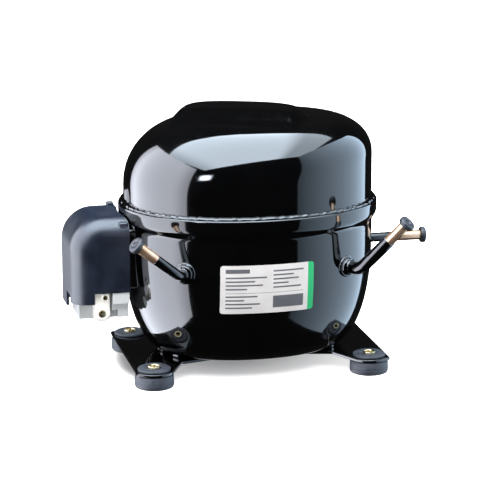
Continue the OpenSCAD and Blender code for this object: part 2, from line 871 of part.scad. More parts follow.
// Motor
module slot_shapes() {
    for (i = [0 : slots - 1]) rotate(360 * (i + 0.5) / slots)
        translate([slot_in, -slot_w / 2]) square([slot_out - slot_in, slot_w]);
}
module at_posts() { for (c = corners) translate([c[0] * post_at[0], c[1] * post_at[1], 0]) children(); }
module stator_core() {
    color([0.45, 0.46, 0.48]) translate([0, 0, stator_low]) linear_extrude(stator_top - stator_low)
        difference() {
            rounded_plate([stator_side, stator_side], stator_corner);
            circle(stator_bore_r);
            slot_shapes();
            at_posts() circle(stator_bolt_r);
        }
}
module end_turns(z) {
    translate([0, 0, z]) rotate_extrude() translate([(slot_in + winding_r) / 2 - 0.5, winding_h / 2])
        rounded_plate([winding_r - slot_in + 1, winding_h], end_turn_round);
}
module stator_windings() {
    color([0.72, 0.38, 0.2]) {
        end_turns(stator_low - winding_h);
        end_turns(stator_top);
        translate([0, 0, stator_low - slot_lap]) linear_extrude(stator_top - stator_low + 2 * slot_lap)
            slot_shapes();
    }
}
module stator_bolts() {
    color([0.5, 0.5, 0.52]) at_posts() {
        translate([0, 0, spring_high]) cylinder(r = spring_cap_r, h = stator_low - spring_high);
        translate([0, 0, spring_high - seat_stud_h]) cylinder(r = seat_stud_r, h = seat_stud_h);
        translate([0, 0, stator_low]) cylinder(r = stator_bolt_r, h = bolt_end - stator_low);
    }
}
module rotor() {
    color([0.6, 0.62, 0.64]) translate([0, 0, stator_low - 2])
        pipe(stator_bore_r - rotor_gap, shaft_r, stator_top - stator_low + 4);
}
module crankshaft() {
    color([0.5, 0.5, 0.5]) difference() {
        union() {
            translate([0, 0, shaft_low]) cylinder(r = shaft_r, h = disc_low - shaft_low);
            translate([0, 0, disc_low]) cylinder(r = disc_r, h = disc_top - disc_low);
            translate([crank_throw, 0, disc_top]) cylinder(r = pin_crank_r, h = pin_top - disc_top);
        }
        translate([0, 0, shaft_low - 1]) cylinder(r = oil_bore_r, h = oil_bore_top - shaft_low + 1);
    }
}
module oil_pickup() {
    color([0.75, 0.7, 0.55]) rotate_extrude() polygon([
        [1.5, pickup_low],
        [2.5, pickup_low],
        [oil_bore_r, pickup_low + 9],
        [oil_bore_r, pickup_top],
        [oil_bore_r - pickup_t, pickup_top],
        [oil_bore_r - pickup_t, pickup_low + 9]
    ]);
}

// Pump
module at_head_bolts() {
    for (c = corners) translate([0, c[0] * head_bolt_at, axis_z + c[1] * head_bolt_at]) children();
}
module head_slab(x0, x1) {
    bar([x0, -head_half, axis_z - head_half], [x1, head_half, axis_z + head_half]);
}
module head_sheet(x, t) {
    difference() {
        head_slab(x, x + t);
        at_head_bolts() along_x(x - 1) cylinder(r = head_bolt_hole_r, h = t + 2);
    }
}
module chambers(x0, x1) {
    for (y = [suction_chamber, discharge_chamber])
        bar([x0, y[0], axis_z - chamber_high], [x1, y[1], axis_z + chamber_high]);
}
module cylinder_block() {
    color([0.4, 0.41, 0.42]) difference() {
        union() {
            translate([0, 0, block_low]) linear_extrude(block_deck - block_low)
                rounded_plate(2 * post_at + 2 * [post_r, post_r], post_r);
            translate([0, 0, hub_low]) cylinder(r = hub_r, h = block_low - hub_low);
            at_posts() translate([0, 0, stator_top]) cylinder(r = post_r, h = block_low - stator_top);
            head_slab(bore_start, bore_end);
        }
        translate([0, 0, hub_low - 1]) cylinder(r = shaft_r + running_gap, h = block_deck - hub_low + 2);
        translate([0, 0, axis_z]) along_x(bore_start - 1)
            cylinder(r = cylinder_r, h = bore_end - bore_start + 2);
        at_posts() translate([0, 0, stator_top - 1])
            cylinder(r = stator_bolt_r, h = bolt_end + 1 - stator_top);
        at_head_bolts() along_x(bore_end - head_bolt_deep)
            cylinder(r = head_bolt_r, h = head_bolt_deep + 1);
    }
}
module connecting_rod() {
    color([0.66, 0.67, 0.68]) translate([0, 0, rod_low]) linear_extrude(rod_t) difference() {
        union() {
            translate([crank_throw, 0]) circle(big_end_r);
            translate([wrist_x, 0]) circle(small_end_r);
            translate([crank_throw, -rod_half]) square([rod_l, 2 * rod_half]);
        }
        translate([crank_throw, 0]) circle(pin_crank_r + running_gap);
        translate([wrist_x, 0]) circle(wrist_r + running_gap);
    }
}
module piston() {
    back = bore_end - piston_l;
    color([0.62, 0.63, 0.66]) difference() {
        translate([0, 0, axis_z]) along_x(back) cylinder(r = cylinder_r - running_gap, h = piston_l);
        bar(
            [back - 1, -rod_slot_half, rod_low - rod_clear],
            [wrist_x + small_end_r + rod_clear, rod_slot_half, rod_low + rod_t + rod_clear]
        );
        translate([wrist_x, 0, axis_z - cylinder_r]) cylinder(r = wrist_r, h = 2 * cylinder_r);
        bar(
            [bore_end - piston_pocket, suction_reed_y - pocket_half[0], axis_z - pocket_half[1]],
            [bore_end + 1, suction_reed_y + pocket_half[0], axis_z + pocket_half[1]]
        );
    }
}
module wrist_pin() {
    color([0.75, 0.75, 0.77]) translate([wrist_x, 0, axis_z - wrist_pin_half])
        cylinder(r = wrist_r, h = 2 * wrist_pin_half);
}
module cylinder_gasket() {
    color([0.35, 0.33, 0.3]) difference() {
        head_sheet(bore_end, gasket_t);
        translate([0, 0, axis_z]) along_x(bore_end - 1) cylinder(r = gasket_r, h = gasket_t + 2);
    }
}
module plate_port(y, r) {
    translate([0, y, axis_z - port_drop]) along_x(plate_x - 1) cylinder(r = r, h = plate_t + 2);
}
module valve_plate() {
    color([0.6, 0.61, 0.63]) difference() {
        head_sheet(plate_x, plate_t);
        plate_port(suction_reed_y, suction_port_r);
        plate_port(discharge_reed_y, discharge_port_r);
    }
}
module head_gasket() {
    color([0.35, 0.33, 0.3]) difference() {
        head_sheet(head_x - gasket_t, gasket_t);
        chambers(head_x - gasket_t - 1, head_x + 1);
    }
}
module suction_reed() {
    x = plate_x - reed_t - reed_gap;
    color([0.7, 0.72, 0.76]) translate([x, suction_reed_y - reed_w / 2, axis_z - reed_half])
        cube([reed_t, reed_w, 2 * reed_half]);
}
module discharge_reed() {
    x = plate_x + plate_t + reed_gap;
    w = reed_w - 2;
    color([0.7, 0.72, 0.76]) translate([x, discharge_reed_y - w / 2, axis_z - reed_half])
        cube([reed_t, w, 2 * reed_half - 2]);
}
module cylinder_head() {
    color([0.55, 0.56, 0.58]) difference() {
        head_sheet(head_x, head_depth);
        chambers(head_x - 1, head_x + chamber_deep);
        along_y([head_port_x, axis_z], -head_half - 1, suction_chamber[0] + 1, head_port_r);
        along_y([head_port_x, axis_z], discharge_chamber[1] - 1, head_half + 1, head_port_r);
    }
}
module head_bolts() {
    top = head_x + head_depth;
    color([0.45, 0.45, 0.47]) at_head_bolts() {
        along_x(top) cylinder(r = bolt_head_r, h = bolt_head_h, $fn = 6);
        along_x(bore_end - head_bolt_deep) cylinder(r = head_bolt_r, h = top - bore_end + head_bolt_deep);
    }
}
module suction_muffler() {
    color([0.85, 0.83, 0.76]) {
        translate(concat(muffler_at, block_deck + 1)) linear_extrude(muffler_h)
            rounded_plate(muffler_size, muffler_corner);
        sweep(route([
            [muffler_end - 4, muffler_at[1], axis_z],
            [muffler_end + 2, muffler_at[1], axis_z],
            [head_port_x, muffler_at[1] + 4, axis_z],
            [head_port_x, muffler_at[1] + 10, axis_z],
            [head_port_x, -head_half, axis_z]
        ], 3), line_r, line_sides);
    }
}
module discharge_line() {
    inner = oval(discharge_root[0], lower_grow) - [collar_in + coil_gap, 0];
    color([0.8, 0.5, 0.33]) sweep(route([
        [head_port_x, head_half, axis_z],
        [head_port_x, 34, axis_z],
        [64, 44, 146],
        [60, 48, 128],
        [60, 44, 108],
        [68, 32, 95],
        [78, 18, discharge_root[1]],
        concat(inner, discharge_root[1])
    ], 4), line_r, line_sides);
}

// Suspension
function coil(turns, z0, z1, steps) = [
    for (k = [0 : turns * steps])
    let (a = 360 * k / steps)
    [spring_r * cos(a), spring_r * sin(a), blend(z0, z1, k / (turns * steps))]
];
module suspension_springs() {
    low = spring_low + spring_wire / 2 + coil_gap;
    high = spring_high - spring_wire / 2 - coil_gap;
    color([0.55, 0.57, 0.6]) at_posts() sweep(coil(spring_coils, low, high, 8), spring_wire / 2, 6);
}
module spring_seats() {
    color([0.8, 0.8, 0.78]) intersection() {
        at_posts() translate([0, 0, shell_bottom]) {
            cylinder(r = spring_seat_r, h = spring_low - shell_bottom);
            cylinder(r = seat_stud_r, h = spring_low - shell_bottom + seat_stud_h);
        }
        lower_cavity();
    }
}

lower_shell();
upper_shell();
seam_weld();
left_bracket();
right_bracket();
rubber_feet();
foot_sleeves();
data_label();
suction_tube();
suction_stub();
suction_plug();
process_tube();
process_stub();
process_plug();
discharge_tube();
discharge_stub();
discharge_plug();
hermetic_terminal();
terminal_pins();
terminal_fence();
start_relay();
overload_protector();
terminal_block();
cord_clamp();
clamp_screws();
terminal_cover();
stator_core();
stator_windings();
stator_bolts();
rotor();
crankshaft();
oil_pickup();
cylinder_block();
connecting_rod();
piston();
wrist_pin();
cylinder_gasket();
valve_plate();
head_gasket();
suction_reed();
discharge_reed();
cylinder_head();
head_bolts();
suction_muffler();
discharge_line();
suspension_springs();
spring_seats();
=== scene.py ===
import math
import bmesh
import bpy
from mathutils import Matrix, Vector


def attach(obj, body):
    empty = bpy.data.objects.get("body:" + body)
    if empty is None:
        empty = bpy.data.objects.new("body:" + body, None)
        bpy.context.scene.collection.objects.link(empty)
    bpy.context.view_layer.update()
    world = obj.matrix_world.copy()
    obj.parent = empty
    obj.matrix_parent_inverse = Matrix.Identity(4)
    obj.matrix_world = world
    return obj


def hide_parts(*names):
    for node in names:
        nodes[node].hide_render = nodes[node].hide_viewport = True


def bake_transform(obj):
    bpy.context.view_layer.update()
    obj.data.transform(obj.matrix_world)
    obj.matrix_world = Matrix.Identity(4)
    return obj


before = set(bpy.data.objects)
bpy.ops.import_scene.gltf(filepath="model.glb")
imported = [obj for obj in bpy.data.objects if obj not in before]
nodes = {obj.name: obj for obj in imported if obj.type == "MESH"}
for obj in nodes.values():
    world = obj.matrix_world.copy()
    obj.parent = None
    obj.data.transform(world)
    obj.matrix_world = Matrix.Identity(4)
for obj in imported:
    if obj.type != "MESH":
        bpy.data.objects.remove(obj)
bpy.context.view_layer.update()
mm = 0.001
print("frame loaded,", len(nodes), "nodes")


# selecting and finishing

def clearSelection():
    active = bpy.context.view_layer.objects.active
    if active and active.mode != "OBJECT":
        bpy.ops.object.mode_set(mode="OBJECT")
    bpy.ops.object.select_all(action="DESELECT")
    bpy.context.view_layer.objects.active = None


def workOn(piece):
    clearSelection()
    piece.select_set(True)
    bpy.context.view_layer.objects.active = piece


def editPiece(piece):
    workOn(piece)
    bpy.ops.object.mode_set(mode="EDIT")


def pick(kind, test):  # in edit mode, only the parts that pass the test stay selected
    bpy.ops.mesh.select_mode(type=kind)
    bpy.ops.mesh.select_all(action="DESELECT")
    mesh = bpy.context.object.data
    bm = bmesh.from_edit_mesh(mesh)
    for part in {"VERT": bm.verts, "EDGE": bm.edges, "FACE": bm.faces}[kind]:
        if test(part):
            part.select_set(True)
    bm.select_flush_mode()
    bmesh.update_edit_mesh(mesh)


def selectAll():  # in edit mode
    bpy.ops.mesh.select_all(action="SELECT")


def facesOut():  # in edit mode
    selectAll()
    bpy.ops.mesh.normals_make_consistent(inside=False)
    bpy.ops.object.mode_set(mode="OBJECT")


def change(piece, kind, **values):  # a modifier, set and applied
    workOn(piece)
    bpy.ops.object.modifier_add(type=kind)
    modifier = piece.modifiers[-1]
    for key, value in values.items():
        setattr(modifier, key, value)
    bpy.ops.object.modifier_apply(modifier=modifier.name)


def roundEdges(piece, width, segments):  # sharp edges only
    change(piece, "BEVEL", width=width * mm, segments=segments, limit_method="ANGLE",
           angle_limit=math.radians(40))


def cutWith(piece, cutter, way="DIFFERENCE"):
    change(piece, "BOOLEAN", operation=way, object=cutter, solver="EXACT")
    bpy.data.objects.remove(cutter)


def joinAll(pieces):
    clearSelection()
    for piece in pieces:
        piece.select_set(True)
    bpy.context.view_layer.objects.active = pieces[0]
    bpy.ops.object.join()
    return pieces[0]


def copyPiece(piece, move):
    workOn(piece)
    bpy.ops.object.duplicate(linked=False)
    copy = bpy.context.object
    bpy.ops.transform.translate(value=move)
    bpy.ops.object.transform_apply(location=True, rotation=True, scale=True)
    return copy


def settle(piece, name, body, slotName, *stoodFor, finish=None):
    piece.name = name
    piece.data.name = name
    piece.data.materials.clear()
    piece.data.materials.append(finish or finishes[slotFinish[slotName]])
    if body:
        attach(piece, body)
    if stoodFor:
        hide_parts(*stoodFor)


def growRings(rings, ends):  # a circle extruded ring by ring
    # its ends are closed in "poles", joined as a "loop", or the first one is left "open"
    clearSelection()
    count = len(rings[0])
    bpy.ops.mesh.primitive_circle_add(vertices=count, radius=0.01)
    piece = bpy.context.object
    bpy.ops.object.mode_set(mode="EDIT")
    bpy.ops.mesh.select_mode(type="VERT")
    selectAll()
    bm = bmesh.from_edit_mesh(piece.data)
    spot = bm.verts.layers.int.new("spot")
    for number, vert in enumerate(bm.verts):
        vert[spot] = number
        vert.co = rings[0][number]
    bmesh.update_edit_mesh(piece.data)
    for ring in rings[1:]:
        bpy.ops.mesh.extrude_region_move()
        bm = bmesh.from_edit_mesh(piece.data)
        spot = bm.verts.layers.int["spot"]
        for vert in bm.verts:
            if vert.select:
                vert.co = ring[vert[spot]]
        bmesh.update_edit_mesh(piece.data)
    if ends == "loop":
        pick("EDGE", lambda edge: edge.is_boundary)
        bpy.ops.mesh.bridge_edge_loops()
    else:
        bpy.ops.mesh.merge(type="CENTER")
    if ends == "poles":
        pick("VERT", lambda vert: vert.index < count)
        bpy.ops.mesh.merge(type="CENTER")
    facesOut()
    return piece


def circleRing(centre, along, radius, count):
    along = Vector(along).normalized()
    side = (Vector((0, 0, 1)) if abs(along.z) < 0.9 else Vector((1, 0, 0))).cross(along).normalized()
    other = along.cross(side)
    turns = [2 * math.pi * i / count for i in range(count)]
    return [Vector(centre) + radius * (math.cos(a) * side + math.sin(a) * other) for a in turns]


def turned(profile, base, along, sides, ends="loop"):  # profile in mm: radius, distance along the axis
    along = Vector(along).normalized()
    rings = [circleRing(Vector(base) + along * h * mm, along, r * mm, sides) for r, h in profile]
    return growRings(rings, ends)


def barPiece(low, high):  # a block between two corners in mm
    clearSelection()
    middle = [(a + b) / 2 * mm for a, b in zip(low, high)]
    size = [(b - a) * mm for a, b in zip(low, high)]
    bpy.ops.mesh.primitive_cube_add(size=1, location=middle, scale=size)
    bpy.ops.object.transform_apply(location=True, rotation=True, scale=True)
    return bpy.context.object


def flatPiece(points):  # a filled outline, left in edit mode
    clearSelection()
    bpy.ops.mesh.primitive_circle_add(vertices=len(points), radius=0.01, fill_type="NGON")
    piece = bpy.context.object
    bpy.ops.object.mode_set(mode="EDIT")
    bm = bmesh.from_edit_mesh(piece.data)
    for vert, point in zip(bm.verts, points):
        vert.co = point
    bmesh.update_edit_mesh(piece.data)
    selectAll()
    return piece


def smoothPiece(piece, angle=40, flatFaces=False):
    workOn(piece)
    bpy.ops.object.shade_smooth_by_angle(angle=math.radians(angle))
    if flatFaces:  # large flat faces keep their own direction beside small roundings
        change(piece, "WEIGHTED_NORMAL", keep_sharp=True, weight=80)


# camera and studio

view = {
    "target": (0.001811, -0.000427, 0.089509),
    "back": (-0.2222, -0.9434, 0.2462),
    "distance": 1.8,
    "lens": 165.6,
    "sensor": 36,
}


def addCamera():
    back = Vector(view["back"]).normalized()
    right = Vector((0, 0, 1)).cross(back).normalized()
    turn = Matrix((right, back.cross(right), back)).transposed().to_4x4()
    clearSelection()
    bpy.ops.object.camera_add()
    camera = bpy.context.object
    camera.matrix_world = Matrix.Translation(Vector(view["target"]) + back * view["distance"]) @ turn
    camera.data.sensor_width = view["sensor"]
    camera.data.lens = view["lens"]
    bpy.context.scene.camera = camera


studio = {  # glow seen in the paint, fill on matt surfaces, and how the glow fades over the panel
    "left": {
        "at": (-0.904, 0.024, 0.05), "facing": (0, -0.094, 0.05), "size": (1.83, 1.94),
        "glow": 5.0, "fill": 1.2, "tint": (0.93, 0.97, 1.09),
        "fades": [("X", 0.22, 0.5, 1, 0.62), ("X", -0.5, -0.3, 0.5, 1)],
    },
    "top": {
        "at": (-0.1, -0.33, 1.15), "facing": (-0.1, -0.33, 0), "size": (1.96, 1.86),
        "glow": 7.3, "fill": 4.6, "tint": (0.86, 1, 1.14),
        "fades": [("X", -0.5, -0.25, 0.6, 1), ("X", 0.17, 0.29, 1, 0.46)],
        "outline": ((-0.5, -0.5), (0.5, -0.5), (0.5, 0.242), (0.357, 0.349), (0.27, 0.403), (0.224, 0.435),
                    (0.163, 0.462), (0.082, 0.462), (0.01, 0.425), (-0.051, 0.392), (-0.194, 0.366),
                    (-0.5, 0.296)),
    },
    "right": {
        "at": (0.852637, -0.289421, 0.05), "facing": (-0.103668, 0.002951, 0.05), "size": (1.655, 1.9),
        "glow": 3.1, "fill": 1.0, "tint": (0.77, 1.0, 1.25), "straight": True,
        "fades": [("X", -0.5, 0.5, 0.15, 1), ("Y", -0.5, 0.5, 0.62, 1.25)],
    },
    "front": {"at": (-0.5, -1.45, 0.3), "facing": (0, 0, 0.06), "size": (1.1, 0.9), "fill": 3.0},
    "spark": {
        "at": (-0.70, -0.94, 0.545), "facing": (-0.048, -0.065, 0.164), "size": (0.28, 0.23),
        "glow": 30.0, "tint": (0.9, 0.98, 1.1),
        "fades": [("X", -0.5, -0.08, 0, 1), ("X", 0.08, 0.5, 1, 0),
                  ("Y", -0.5, -0.08, 0, 1), ("Y", 0.08, 0.5, 1, 0)],
    },
    "behind": {
        "at": (-0.27, 0.36, 0.003), "facing": (-0.27, 0.36, -1), "size": (0.26, 0.5),
        "glow": 0.9, "tint": (0.95, 0.98, 1.08), "fades": [("X", 0.2, 0.5, 1, 0)],
    },
    "under": {
        "at": (0, 0.02, -0.004), "facing": (0, 0.02, -1), "size": (0.14, 0.075),
        "glow": 0.4, "tint": (0.95, 1, 1.06), "fades": [("Y", -0.5, -0.3, 0.5, 1)],
    },
}
square = ((-0.5, -0.5), (0.5, -0.5), (0.5, 0.5), (-0.5, 0.5))
wattsPerArea = 4  # where a box's fill is 1
sky = {"reflected": 0.012, "seen": 1.0}


def addFill(name, box, turn):
    clearSelection()
    bpy.ops.object.light_add(type="AREA", location=box["at"], rotation=turn)
    lamp = bpy.context.object
    lamp.name = name + "Fill"
    lamp.data.shape = "RECTANGLE"
    lamp.data.size, lamp.data.size_y = box["size"]
    lamp.data.energy = wattsPerArea * box["size"][0] * box["size"][1] * box["fill"]
    lamp.visible_camera = False
    lamp.visible_glossy = False


def addPanel(name, box, turn):  # a glowing sheet that only reflections see
    panel = flatPiece([(x, y, 0) for x, y in box.get("outline", square)])
    bpy.ops.object.mode_set(mode="OBJECT")
    panel.name = name + "Panel"
    panel.location = box["at"]
    panel.rotation_euler = turn
    panel.scale = (*box["size"], 1)
    material, tree, shader, coords = startMaterial(name + "Glow")
    split = addNode(tree, "SeparateXYZ", {0: coords.outputs["Object"]})
    level = box["glow"]
    for axis, start, stop, low, high in box["fades"]:
        span = {"From Min": start, "From Max": stop, "To Min": low, "To Max": high}
        fade = addNode(tree, "MapRange", {"Value": split.outputs[axis], **span})
        fade.interpolation_type = "LINEAR" if box.get("straight") else "SMOOTHSTEP"
        level = addNode(tree, "Math", {0: fade.outputs["Result"], 1: level}, "MULTIPLY").outputs[0]
    setInputs(tree, shader, {
        "Base Color": (0, 0, 0, 1), "Emission Color": (*box["tint"], 1), "Emission Strength": level})
    panel.data.materials.append(material)
    panel.visible_camera = False
    panel.visible_diffuse = False
    panel.visible_shadow = False


def addStudio():
    for name, box in studio.items():
        away = Vector(box["at"]) - Vector(box["facing"])
        turn = away.to_track_quat("Z", "Y").to_euler() if away.xy.length > 0.01 else (0, 0, 0)
        if "glow" in box:
            addPanel(name, box, turn)
        if "fill" in box:
            addFill(name, box, turn)
    world = bpy.data.worlds.new("studioWorld")
    bpy.context.scene.world = world
    world.use_nodes = True
    tree = world.node_tree
    rays = tree.nodes.new("ShaderNodeLightPath")
    level = mixNumber(tree, rays.outputs["Is Camera Ray"], sky["reflected"], sky["seen"])
    setInputs(tree, tree.nodes["Background"], {"Strength": level, "Color": (1, 1, 1, 1)})
    bpy.context.scene.view_settings.view_transform = "Standard"
    bpy.context.scene.view_settings.look = "None"


# nodes, and shader groups that several finishes use

def setInputs(tree, node, inputs):  # a socket is linked, anything else is written
    for place, value in inputs.items():
        if isinstance(value, bpy.types.NodeSocket):
            tree.links.new(value, node.inputs[place])
        else:
            node.inputs[place].default_value = value


def addNode(tree, kind, inputs, operation=None):
    node = tree.nodes.new("ShaderNode" + kind)
    if operation:
        node.operation = operation
    setInputs(tree, node, inputs)
    return node


def startMaterial(name):
    material = bpy.data.materials.new(name)
    material.use_nodes = True
    tree = material.node_tree
    return material, tree, tree.nodes["Principled BSDF"], tree.nodes.new("ShaderNodeTexCoord")


def startGroup(name, output, **inputs):
    group = bpy.data.node_groups.new(name, "ShaderNodeTree")
    for socket, value in {"Vector": (0.0, 0.0, 0.0), **inputs}.items():
        kind = "NodeSocketVector" if isinstance(value, tuple) else "NodeSocketFloat"
        made = group.interface.new_socket(name=socket, in_out="INPUT", socket_type=kind)
        made.default_value = value
    group.interface.new_socket(name=output, in_out="OUTPUT", socket_type="NodeSocketFloat")
    entry = group.nodes.new("NodeGroupInput")
    result = group.nodes.new("NodeGroupOutput")
    return group, entry.outputs, result.inputs[output]


def makeBlotchGroup():
    group, entry, result = startGroup("blotches", "Mask", Scale=30.0, Detail=3.0, Low=0.4, High=0.65)
    noise = addNode(group, "TexNoise", {place: entry[place] for place in ("Vector", "Scale", "Detail")})
    limits = {"From Min": entry["Low"], "From Max": entry["High"]}
    span = addNode(group, "MapRange", {"Value": noise.outputs["Fac"], **limits})
    group.links.new(span.outputs["Result"], result)
    return group


def makeGrainGroup():
    group, entry, result = startGroup(
        "surfaceGrain", "Height", Stretch=(1.0, 1.0, 1.0), Scale=800.0, Detail=2.0)
    stretch = addNode(group, "VectorMath", {0: entry["Vector"], 1: entry["Stretch"]}, "MULTIPLY")
    size = {"Scale": entry["Scale"], "Detail": entry["Detail"]}
    noise = addNode(group, "TexNoise", {"Vector": stretch.outputs[0], **size})
    group.links.new(noise.outputs["Fac"], result)
    return group


def makeDustGroup():  # specks on what faces up
    group, entry, result = startGroup("restingDust", "Mask", Scale=1400.0, Amount=0.2)
    place = group.nodes.new("ShaderNodeNewGeometry")
    split = addNode(group, "SeparateXYZ", {0: place.outputs["Normal"]})
    upper = addNode(group, "MapRange", {"Value": split.outputs["Z"], "From Min": -0.2, "From Max": 0.9})
    noise = addNode(group, "TexNoise", {"Vector": entry["Vector"], "Scale": entry["Scale"], "Detail": 1.0})
    specks = addNode(group, "MapRange", {"Value": noise.outputs["Fac"], "From Min": 0.62, "From Max": 0.72})
    both = addNode(group, "Math", {0: upper.outputs["Result"], 1: specks.outputs["Result"]}, "MULTIPLY")
    some = addNode(group, "Math", {0: both.outputs[0], 1: entry["Amount"]}, "MULTIPLY")
    group.links.new(some.outputs[0], result)
    return group


def makePrintGroup():
    group, entry, result = startGroup("printedBar", "Mask", Left=0.0, Right=0.0, Low=0.0, High=0.0)
    split = addNode(group, "SeparateXYZ", {0: entry["Vector"]})
    last = None
    for axis, limit in (("X", "Left"), ("X", "Right"), ("Z", "Low"), ("Z", "High")):
        way = "GREATER_THAN" if limit in ("Left", "Low") else "LESS_THAN"
        side = addNode(group, "Math", {0: split.outputs[axis], 1: entry[limit]}, way).outputs[0]
        last = addNode(group, "Math", {0: last, 1: side}, "MULTIPLY").outputs[0] if last else side
    group.links.new(last, result)
    return group


groups = {
    "blotches": makeBlotchGroup(),
    "grain": makeGrainGroup(),
    "dust": makeDustGroup(),
    "print": makePrintGroup(),
}


def placeGroup(tree, kind, coords, **values):
    node = tree.nodes.new("ShaderNodeGroup")
    node.node_tree = groups[kind]
    setInputs(tree, node, {"Vector": coords.outputs["Object"], **values})
    return node


def mixColour(tree, mask, *colours):
    node = tree.nodes.new("ShaderNodeMix")
    node.data_type = "RGBA"
    tree.links.new(mask, node.inputs[0])
    for place, colour in zip((6, 7), colours):
        setInputs(tree, node, {place: (*colour, 1) if isinstance(colour, tuple) else colour})
    return node.outputs[2]


def mixNumber(tree, mask, low, high):
    return addNode(tree, "MapRange", {"Value": mask, "To Min": low, "To Max": high}).outputs["Result"]


def addGrain(tree, shader, coords, strength, deep, **values):
    height = placeGroup(tree, "grain", coords, **values).outputs["Height"]
    bump = addNode(tree, "Bump", {"Strength": strength, "Distance": deep, "Height": height})
    tree.links.new(bump.outputs["Normal"], shader.inputs["Normal"])


dustColour = (0.5, 0.49, 0.47)
shallow = 0.0001  # depth of a fine grain


def makeFinish(name, look):
    material, tree, shader, coords = startMaterial(name)
    mask = placeGroup(tree, "blotches", coords, Scale=look["patch"]).outputs["Mask"]
    colour = mixColour(tree, mask, look["colour"], look["second"])
    if look.get("dust"):
        dust = placeGroup(tree, "dust", coords, Amount=look["dust"])
        colour = mixColour(tree, dust.outputs["Mask"], colour, dustColour)
    setInputs(tree, shader, {
        "Base Color": colour, "Roughness": mixNumber(tree, mask, *look["rough"]),
        "Metallic": look.get("metal", 0.0), "Specular IOR Level": look.get("specular", 0.5)})
    addGrain(tree, shader, coords, look["bump"], look.get("deep", shallow),
             Scale=look["grain"], Stretch=look.get("stretch", (1, 1, 1)))
    if look.get("coat"):
        setInputs(tree, shader, {"Coat Weight": look["coat"], "Coat Roughness": look["coatRough"]})
    return material


finishLooks = {
    "blackPaint": {"colour": (0.0007, 0.0008, 0.0010), "second": (0.0014, 0.0015, 0.0018), "patch": 22,
                   "rough": (0.06, 0.10), "grain": 420, "bump": 0.05, "deep": 0.0002, "coat": 1.0,
                   "coatRough": 0.04, "dust": 0.006},
    "footRubber": {"colour": (0.025, 0.030, 0.041), "second": (0.036, 0.042, 0.054), "patch": 160,
                   "rough": (0.48, 0.62), "grain": 1500, "bump": 0.25, "dust": 0.10},
    "plugRubber": {"colour": (0.020, 0.024, 0.032), "second": (0.030, 0.034, 0.043), "patch": 220,
                   "rough": (0.30, 0.42), "grain": 1800, "bump": 0.15, "dust": 0.06},
    "yellowZinc": {"colour": (0.74, 0.62, 0.36), "second": (0.80, 0.71, 0.50), "patch": 240,
                   "rough": (0.24, 0.36), "grain": 900, "bump": 0.12, "metal": 1.0},
    "copper": {"colour": (0.76, 0.48, 0.31), "second": (0.86, 0.63, 0.45), "patch": 140,
               "rough": (0.16, 0.27), "grain": 1100, "bump": 0.08, "metal": 0.8},
    "coverPlastic": {"colour": (0.0032, 0.0058, 0.0135), "second": (0.0048, 0.0078, 0.0175), "patch": 60,
                     "rough": (0.35, 0.44), "grain": 1500, "bump": 0.4, "dust": 0.03, "specular": 0.9},
    "relayPlastic": {"colour": (0.016, 0.016, 0.017), "second": (0.024, 0.024, 0.026), "patch": 120,
                     "rough": (0.42, 0.55), "grain": 1800, "bump": 0.2},
    "whiteNylon": {"colour": (0.88, 0.87, 0.83), "second": (0.82, 0.81, 0.76), "patch": 90,
                   "rough": (0.36, 0.46), "grain": 1500, "bump": 0.12, "dust": 0.06},
    # painted shade: a darker copy of the white nylon, for the terminal block that sits in the cover's shade
    "shadedWhiteNylon": {"colour": (0.58, 0.61, 0.625), "second": (0.53, 0.56, 0.575), "patch": 90,
                  "rough": (0.36, 0.46), "grain": 1500, "bump": 0.12, "dust": 0.06},
    "brightSteel": {"colour": (0.56, 0.56, 0.57), "second": (0.64, 0.64, 0.65), "patch": 90,
                    "rough": (0.26, 0.38), "grain": 1200, "bump": 0.12, "metal": 1.0},
    "laminations": {"colour": (0.36, 0.37, 0.40), "second": (0.46, 0.47, 0.49), "patch": 60,
                    "rough": (0.42, 0.55), "grain": 700, "stretch": (0.02, 0.02, 1.6), "bump": 0.6,
                    "deep": 0.0003, "metal": 1.0},
    "copperWire": {"colour": (0.55, 0.22, 0.09), "second": (0.68, 0.30, 0.14), "patch": 120,
                   "rough": (0.28, 0.42), "grain": 620, "stretch": (0.5, 0.5, 2.0), "bump": 0.8,
                   "deep": 0.0006, "metal": 0.7},
    "castIron": {"colour": (0.22, 0.225, 0.235), "second": (0.29, 0.295, 0.30), "patch": 80,
                 "rough": (0.50, 0.66), "grain": 900, "bump": 0.5, "deep": 0.0003, "metal": 0.8},
    "gasketFibre": {"colour": (0.13, 0.12, 0.105), "second": (0.18, 0.165, 0.145), "patch": 200,
                    "rough": (0.7, 0.85), "grain": 2400, "bump": 0.4},
    "lightAlloy": {"colour": (0.60, 0.61, 0.63), "second": (0.68, 0.69, 0.71), "patch": 90,
                   "rough": (0.34, 0.48), "grain": 1000, "bump": 0.25, "metal": 1.0},
}
finishes = {name: makeFinish(name, look) for name, look in finishLooks.items()}
print("finishes made:", ", ".join(finishes))

slotFinish = {
    "black_paint": "blackPaint", "foot_rubber": "footRubber", "yellow_zinc": "yellowZinc",
    "copper": "copper", "plug_rubber": "plugRubber", "steel": "brightSteel",
    "relay_plastic": "relayPlastic", "white_nylon": "whiteNylon", "cover_plastic": "coverPlastic",
    "lamination": "laminations", "winding": "copperWire", "cast": "castIron",
    "gasket": "gasketFibre", "light_alloy": "lightAlloy", "label_film": "whiteNylon",
}


def dressNodes():  # the nodes that stay get their finish in their own slots
    for name, node in nodes.items():
        for place in node.material_slots:
            if place.material:
                finish = slotFinish.get(place.material.name.split(".")[0])
                if finish:
                    place.material = finishes[finish]


# shell

